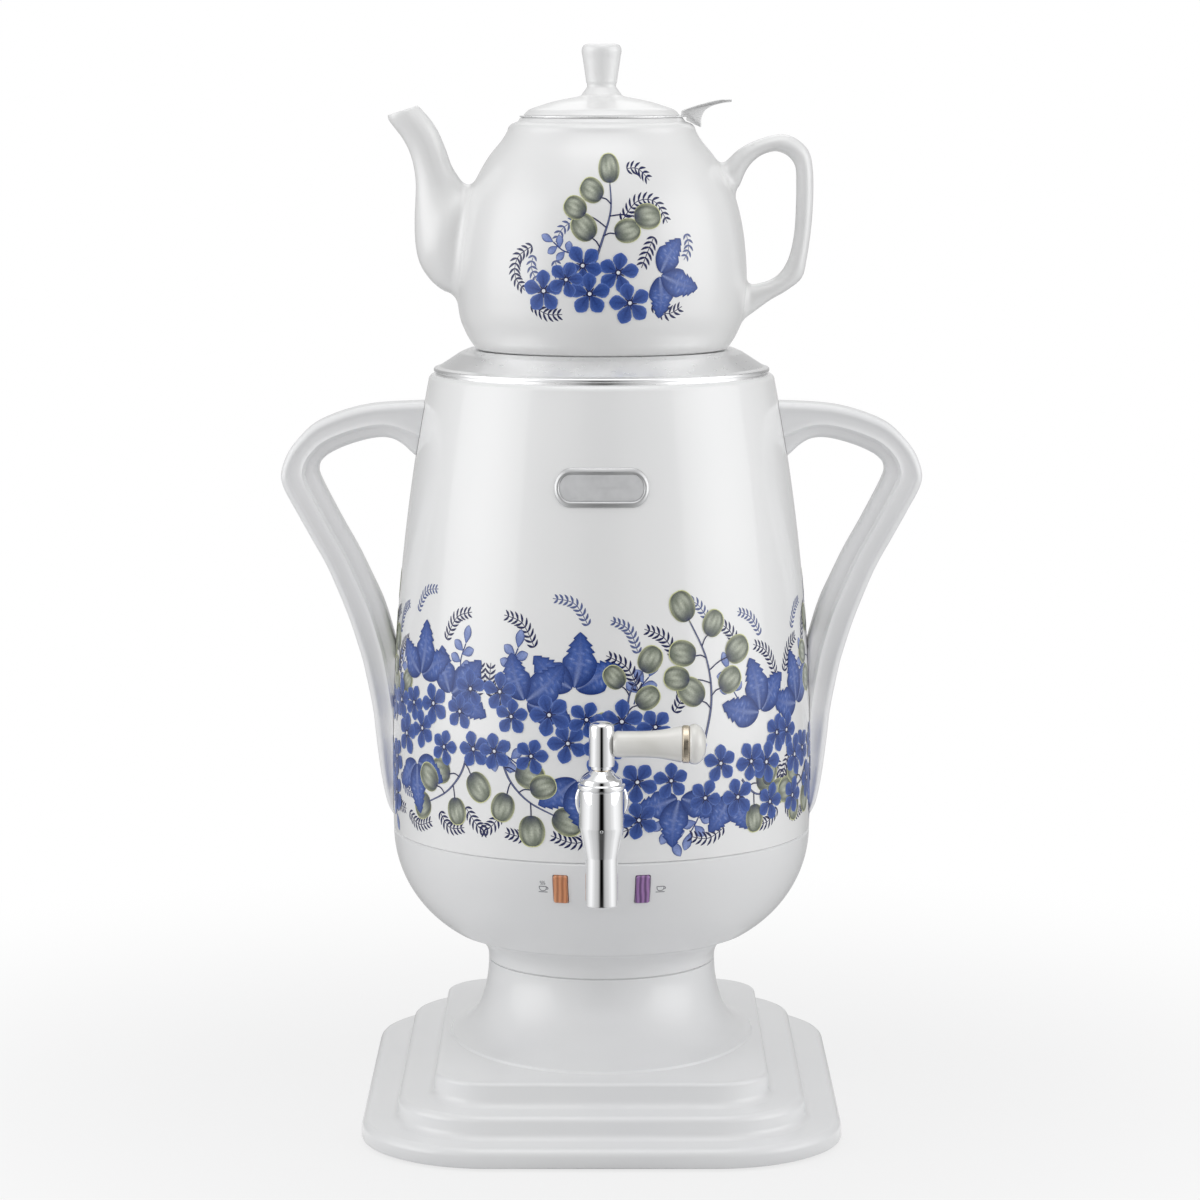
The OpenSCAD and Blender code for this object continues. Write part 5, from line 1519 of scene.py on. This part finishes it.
# %% Band for the boiler
STRIP_W = 147.5
STRIPS = 4
BAND_X, BAND_Z = 20, 131
FLOWER_PAIRS = 9


def garland(x):
    """Height of the garland's middle above the band's foot."""
    return 39 + 12 * math.sin(2 * math.pi * x / STRIP_W)


def garland_flowers():
    """Flowers in two uneven rows along the garland."""
    flowers = []
    for i in range(FLOWER_PAIRS):
        x = STRIP_W * ((i + 0.5) / FLOWER_PAIRS - 0.5) + 2.5 * math.sin(7 * i)
        upper, lower = 9 + 4 * math.sin(5 * i), -7 + 4 * math.cos(4 * i)
        flowers.append((x - 4, garland(x) + upper, 16.5 + 1.5 * math.sin(3 * i), 47 * i))
        flowers.append((x + 4, garland(x) + lower, 16.5 + 1.5 * math.cos(5 * i), 31 * i))
    return tuple(flowers)


# Places are millimetres right of the strip's middle and above the band's foot
STRIP = {
    "ferns": (((-70, 70), (-64, 80), (-55, 84)), ((-14, 80), (-8, 90), (1, 94)),
              ((50, 86), (56, 96), (65, 99)), ((66, 60), (71, 68), (71, 78)),
              ((-70, 10), (-62, 5), (-51, 6)), ((0, 16), (8, 8), (18, 7)),
              ((22, 6), (31, 2), (42, 5)), ((-46, 78), (-42, 90), (-33, 96)),
              ((4, 68), (9, 78), (18, 83)), ((64, 14), (70, 7), (76, 4)),
              ((-36, 6), (-28, 2), (-18, 4)), ((-12, 58), (-16, 66), (-12, 76)),
              ((-66, 34), (-72, 26), (-72, 16)), ((48, 10), (54, 4), (63, 5))),
    "faded ferns": (((-30, 96), (-24, 104), (-16, 106)), ((26, 96), (32, 105), (42, 107)),
                    ((-60, 88), (-54, 96), (-46, 99)), ((4, 84), (8, 94), (16, 98)),
                    ((12, 22), (18, 16), (28, 15))),
    "buds": ((6, 62, 14, 60), (-44, 62, 14, 110), (70, 40, 14, -20), (-4, 14, 14, 300),
             (60, 72, 14, 80), (-24, 18, 14, 250)),
    "branches": ((((-26, 44), (-30, 62), (-28, 80), (-20, 97)), 13.5, 6, 0.4),
                 (((66, 44), (62, 30), (53, 20), (41, 14)), 13.5, 4, 0),
                 (((-46, 26), (-54, 19), (-64, 18)), 13, 3, 0),
                 (((2, 44), (8, 54), (8, 66), (2, 76)), 12, 3, 0)),
    "leaves": ((32, 68, 24, 84, 58, 3), (54, 62, 23, 44, 64, 3), (-58, 54, 24, 104, 62, 3),
               (-14, 21, 21, 262, 70, 3), (30, 30, 22, 278, 64, 3), (-40, 21, 20, 268, 68, 2)),
    "flowers": garland_flowers() + ((-64, 14, 16, 0), (4, 12, 16, 40), (66, 66, 16, 20))}


def on_strip(k):
    """For strip k: what takes a place of the strip to one on the boiler's print."""
    flip = -1 if k % 2 else 1
    middle = STRIP_W * (k - 1) + BAND_X
    return lambda x, z: complex(middle + flip * x, BAND_Z + z)


# %% [markdown]
# ## From flat print to the body
# A place on the flat print becomes a heading and a height, and the stroke's height is
# added to the body's radius there. The strokes get a trace of thickness, so they are
# closed solids like everything else. Their inks go in as a colour of each point, and one
# finish reads that colour and adds the slight mottling of a fired print under glaze.

# %% Printed mesh
PRINT_T = 0.03


def printed(name, sheet, radius_at, print_r):
    """Mesh object of a print's strokes, wrapped round the Z axis."""
    points = []
    for place, height in zip(sheet["places"], sheet["heights"]):
        heading = place.real / print_r
        r = radius_at(place.imag) + height
        points.append(Vector((r * math.sin(heading), -r * math.cos(heading), place.imag)) * MM)
    mesh = bpy.data.meshes.new(name)
    mesh.from_pydata(points, [], sheet["faces"])
    ink = mesh.attributes.new("ink", "FLOAT_COLOR", "POINT")
    ink.data.foreach_set("color", [v for colour in sheet["inks"] for v in (*colour, 1)])
    shape = bmesh.new()
    shape.from_mesh(mesh)
    bmesh.ops.remove_doubles(shape, verts=shape.verts, dist=2e-7)
    shape.to_mesh(mesh)
    shape.free()
    piece = bpy.data.objects.new(name, mesh)
    scene.collection.objects.link(piece)
    return thickened(piece, PRINT_T)


def print_finish(name, coat, coat_rough):
    """Fired print, a little less glossy than its ground; it takes its colour from the mesh."""
    finish = new_finish(name, COBALT, 0.4, coat=coat, coat_rough=coat_rough)
    tree = finish.node_tree
    tree.nodes["Principled BSDF"].inputs["Specular IOR Level"].default_value = 0.15
    ink = tree.nodes.new("ShaderNodeAttribute")
    ink.attribute_name = "ink"
    mottle = node_range(tree, grain(finish, 0.6, detail=3), 0.25, 0.75, 0.8, 1.25)
    scaled = tree.nodes.new("ShaderNodeVectorMath")
    scaled.operation = "SCALE"
    tree.links.new(ink.outputs["Color"], scaled.inputs[0])
    tree.links.new(mottle, scaled.inputs["Scale"])
    tree.links.new(scaled.outputs["Vector"], tree.nodes["Principled BSDF"].inputs["Base Color"])
    return finish


# %% Prints in place
def lay_on(prefix, sheets, radius_at, print_r, finish, body):
    """Wraps the three sheets of a print round a body."""
    for kind, sheet in zip(("sprigs", "foliage", "blooms"), sheets):
        fit(printed(prefix + kind, sheet, radius_at, print_r), finish, body)


enamel_print = print_finish("enamel_print", 0.5, 0.09)
sheets = three_sheets()
for k in range(STRIPS):
    draw(sheets, STRIP, on_strip(k))
lay_on("boiler_print_", sheets, shell_r, belly_r, enamel_print, "samovar")

glaze_print = print_finish("glaze_print", 0.5, 0.2)
sheets = three_sheets()
draw(sheets, SPRAY, on_spray)
lay_on("teapot_print_", sheets, pot_r, pot_belly_r, glaze_print, "pot")

# %% [markdown]
# ## Two plain signs
# Beside the lamps are two tiny grey signs, printed on the bowl: a cup with steam for
# boiling, and a plain cup for keeping warm. They are brush strokes too.

# %% Signs
SIGN_GREY = (0.22, 0.22, 0.24)
SIGN_X = 25.6


def line_of(sheet, places, half_width=0.17):
    """Thin even line through places."""
    count = max(6, 2 * len(places))
    stroke(sheet, sheet["lowest"], brush_line(places, count),
           lambda t: half_width, lambda t, s: SIGN_GREY, 1)


def cup_sign(sheet, middle):
    """A cup with an ear on its saucer, about four millimetres wide."""
    cup = ((-1.6, 0.6), (-1.4, -0.7), (-0.6, -1.3), (0.6, -1.3), (1.4, -0.7), (1.6, 0.6))
    brim = ((-1.7, 0.6), (1.7, 0.6))
    saucer = ((-2.0, -1.9), (2.0, -1.9))
    ear = ((1.5, 0.3), (2.2, 0.2), (2.2, -0.5), (1.4, -0.6))
    for places in (cup, brim, saucer, ear):
        line_of(sheet, [middle + complex(x, z) for x, z in places])


signs = new_sheet(0.05, 0, 1)
for side in (-1, 1):
    cup_sign(signs, complex(side * SIGN_X, lens_z + 0.4))
steam = ((0, 1.7), (0.3, 2.3), (-0.3, 2.9), (0, 3.5))
for x in (-0.8, 0, 0.8):
    line_of(signs, [complex(x + sway - SIGN_X, lens_z + up) for sway, up in steam], 0.13)
sign_print = print_finish("sign_print", 0.3, 0.1)
fit(printed("lamp_signs", signs, bowl_r, bowl_r(lens_z)), sign_print, "samovar")

# %% [markdown]
# ## The back: mains inlet and switch
# A flat pad at the back of the bowl takes a three-pin inlet and a rocker switch, both
# black moulded plastic. The inlet's socket has two corners cut off, so that the plug
# goes in one way only. The switch carries the plain signs I and O.

# %% Inlet
inlet_w, inlet_h, inlet_depth, rim_t = 24.5, 15.5, 18, 2
at_inlet = slide(0, pad_y, pad_z)


def socket_ring(w, h, y, corner, cut_by):
    """Ring round the socket: square low corners with a small radius, cut upper corners."""
    ring = []
    for sx, sy, start in ((1, 1, 0), (-1, 1, 90), (-1, -1, 180), (1, -1, 270)):
        by = cut_by if sy > 0 else corner
        for k in range(7):
            if sy > 0:
                p = Vector((sx * w / 2, h / 2 - by)).lerp(Vector((sx * (w / 2 - by), h / 2)),
                                                         k / 6 if sx > 0 else 1 - k / 6)
                ring.append((p.x, y, p.y))
            else:
                a = math.radians(start + 15 * k)
                ring.append((sx * (w / 2 - by) + by * math.cos(a), y, -(h / 2 - by) + by * math.sin(a)))
    return ring


def housing_rings(w, h, steps):
    """Rings round a housing; a step is extra size, depth, lower corner and upper corner."""
    return [socket_ring(w + extra, h + extra, y, corner, cut_by) for extra, y, corner, cut_by in steps]


rings = housing_rings(inlet_w, inlet_h, (
    (3, -inlet_depth, 1, 4.5), (3, -0.1, 1, 4.5), (7, 0, 2.5, 2.5), (7, rim_t - 0.6, 2.5, 2.5),
    (6.5, rim_t - 0.15, 2.3, 2.3), (5.6, rim_t, 2, 2), (0.8, rim_t, 1, 4), (0, rim_t - 0.5, 1, 4),
    (0, 2.5 - inlet_depth, 1, 4)))
inlet = make_mesh("inlet_housing", *skinned(rings), place=at_inlet)
black_plastic = new_finish("black_plastic", (0.035, 0.035, 0.037), 0.42)
tinted(black_plastic, 8, (0.045, 0.045, 0.047))
bumped(black_plastic, 0.35, 0.006)
fit(inlet, black_plastic, "samovar", ["power_inlet"])

# %% Inlet pins
blade_w, blade_h, blade_gap = 2, 4, 7
pin_points, pin_faces = [], []
for i in (-1, 0, 1):
    rings = []
    for inset, y in ((0, 0), (0, inlet_depth - 6.2), (0.25, inlet_depth - 4.6), (0.6, inlet_depth - 4)):
        ring = socket_ring(blade_w - 2 * inset, blade_h - 2 * inset, y - inlet_depth - 0.2, 0.3, 0.3)
        rings.append([(x + blade_gap * i, yy, z + 1 - abs(i)) for x, yy, z in ring])
    add_part(pin_points, pin_faces, skinned(rings))
pins = make_mesh("inlet_blades", pin_points, pin_faces, place=at_inlet)
fit(pins, steel, "samovar", ["inlet_pins"])

# %% [markdown]
# ## Rocker switch
# The rocker's two faces meet in a shallow valley, and it tips about a pin between
# them. A bar and a ring in white are printed on it, and they are one thin piece of their
# own. One list of steps per housing gives the extra size, depth and corners of its rings.

# %% Switch
switch_x, rocker_w, rocker_r, rocker_tilt = -27, 11.6, 9, 9
at_switch = slide(switch_x, pad_y, pad_z)
rings = housing_rings(rocker_w, 2 * rocker_r, (
    (2.6, -14, 1, 1), (2.6, -0.1, 1, 1), (5.6, 0, 2, 2), (5.6, rim_t - 0.6, 2, 2),
    (5.1, rim_t - 0.15, 1.8, 1.8), (4.2, rim_t, 1.5, 1.5)))
rings += housing_rings(rocker_w + 0.5, 2 * rocker_r + 0.6, (
    (0.8, rim_t, 0.6, 0.6), (0, rim_t - 0.4, 0.5, 0.5), (0, -9.4, 0.5, 0.5)))
housing = make_mesh("switch_housing", *skinned(rings), place=at_switch)
fit(housing, black_plastic, "samovar", ["power_switch"])

# %% Rocker
at_rocker = at_switch @ turn(-rocker_tilt, "X")
end = rocker_r - 0.6
valley_y = 2.2
side_line = filleted([(-4, -2), (-2, -end), (valley_y + 1, -end, 0.6), (valley_y, 0, 6),
                      (valley_y + 1, end, 0.6), (-2, end), (-4, 2)])
half, edge = rocker_w / 2, 0.35
rings = []
for x, inset in ((-half, edge), (-half + edge, 0), (half - edge, 0), (half, edge)):
    rings.append([(x, y - (inset if y > 0 else 0), z * (1 - inset / rocker_r)) for y, z in side_line])
rocker = make_mesh("switch_rocker_cap", *skinned(rings), place=at_rocker)
fit(rocker, black_plastic, "rocker", ["switch_rocker"])


# %% Rocker signs
sign_t, sign_proud = 0.05, 0.04
ring_z, ring_radii = -4.6, (1.25, 1.7)


def rocker_face(x, z):
    """Place on the rocker's front, a hair proud; z runs along the rocker."""
    return (x, valley_y + abs(z) / end + sign_proud, z)


ring_angles = np.linspace(0, 2 * math.pi, 40, endpoint=False)
ring_marks = [[rocker_face(r * math.cos(a), ring_z + r * math.sin(a)) for a in ring_angles]
              for r in ring_radii]
mark_points, mark_faces = skinned(ring_marks, caps=False)
bar = [rocker_face(x, z) for x, z in ((-0.24, 3), (0.24, 3), (0.24, 6.4), (-0.24, 6.4))]
add_part(mark_points, mark_faces, (bar, [[0, 1, 2, 3]]))
marks = thickened(make_mesh("rocker_signs", mark_points, mark_faces, place=at_rocker), sign_t)
sign_white = new_finish("sign_white", (0.8, 0.8, 0.8), 0.5)
tinted(sign_white, 1.5, (0.7, 0.7, 0.7))
fit(marks, sign_white, "rocker")

# %% [markdown]
# ## Feet
# Four soft rubber feet lift the rim off the table by a millimetre. They are low drums
# with a rounded edge, and one drum is turned once and set down at all four corners.
# The rubber is matt and slightly dusty.

# %% Feet
foot_r, foot_h = 9, 2.5
foot_x, foot_y = base_w / 2 - 30, base_d / 2 - 36
drum_line = filleted([(0, 0), (foot_r, 0, 0.8), (foot_r, foot_h), (0, foot_h)])
drum_points, drum_faces = turned(drum_line, sides=64)
foot_points, foot_faces = [], []
for x in (-foot_x, foot_x):
    for y in (-foot_y, foot_y):
        moved = [(px + x, py + y, pz) for px, py, pz in drum_points]
        add_part(foot_points, foot_faces, (moved, drum_faces))
feet = make_mesh("rubber_feet", foot_points, foot_faces)
rubber = new_finish("rubber", (0.035, 0.035, 0.035), 0.75)
tinted(rubber, 3, (0.06, 0.058, 0.055))
bumped(rubber, 0.6, 0.01)
fit(feet, rubber, "samovar", ["feet"])

# %% [markdown]
# ## What stays plain CAD
# The pieces inside are turned, bent and pressed parts whose solids are already right.
# They only need their finishes: dull aluminium under the tank, brown moulded resin on
# the thermostats, drawn steel, brass and coloured wire.

# %% Finishes inside
FINISHES = {"rubber": rubber, "steel": steel, "steel_sheet": steel_sheet, "chrome": chrome,
            "white_plastic": white_plastic, "black_plastic": black_plastic}
# Name, colour, roughness, metal, second colour and size of the grain in millimetres
INNER = [("grey_plastic", (0.42, 0.42, 0.43), 0.5, 0.0, (0.38, 0.38, 0.39), 0.6),
         ("lamp_glass", (0.75, 0.72, 0.62), 0.12, 0.0, (0.7, 0.66, 0.55), 2.0),
         ("aluminium", (0.62, 0.62, 0.63), 0.45, 1.0, (0.52, 0.52, 0.54), 1.5),
         ("brown_plastic", (0.20, 0.11, 0.06), 0.5, 0.0, (0.15, 0.08, 0.045), 1.0),
         ("brass", (0.70, 0.53, 0.26), 0.28, 1.0, (0.60, 0.43, 0.20), 1.5),
         ("wire_brown", (0.17, 0.08, 0.04), 0.45, 0.0, (0.14, 0.065, 0.03), 2.0),
         ("wire_blue", (0.04, 0.13, 0.45), 0.45, 0.0, (0.03, 0.1, 0.37), 2.0),
         ("silicone", (0.48, 0.13, 0.09), 0.6, 0.0, (0.42, 0.11, 0.08), 2.0)]
for name, colour, rough, metal, other, size in INNER:
    finish = new_finish(name, colour, rough, metal=metal)
    tinted(finish, size * 4, other)
    worn(finish, size, max(rough - 0.1, 0.05), rough + 0.1)
    bumped(finish, size * 0.4, 0.004)
    FINISHES[name] = finish

# %% Finishes on the CAD nodes
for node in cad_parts.values():
    for k, held in enumerate(node.data.materials):
        wanted = held.name.split(".")[0] if held else ""
        if wanted in FINISHES:
            node.material_slots[k].material = FINISHES[wanted]
print("CAD nodes:", sorted({m.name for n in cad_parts.values() for m in n.data.materials if m}))

# %% [markdown]
# ## The end
# The scene is brought up to date.

# %% Update the scene
bpy.context.view_layer.update()
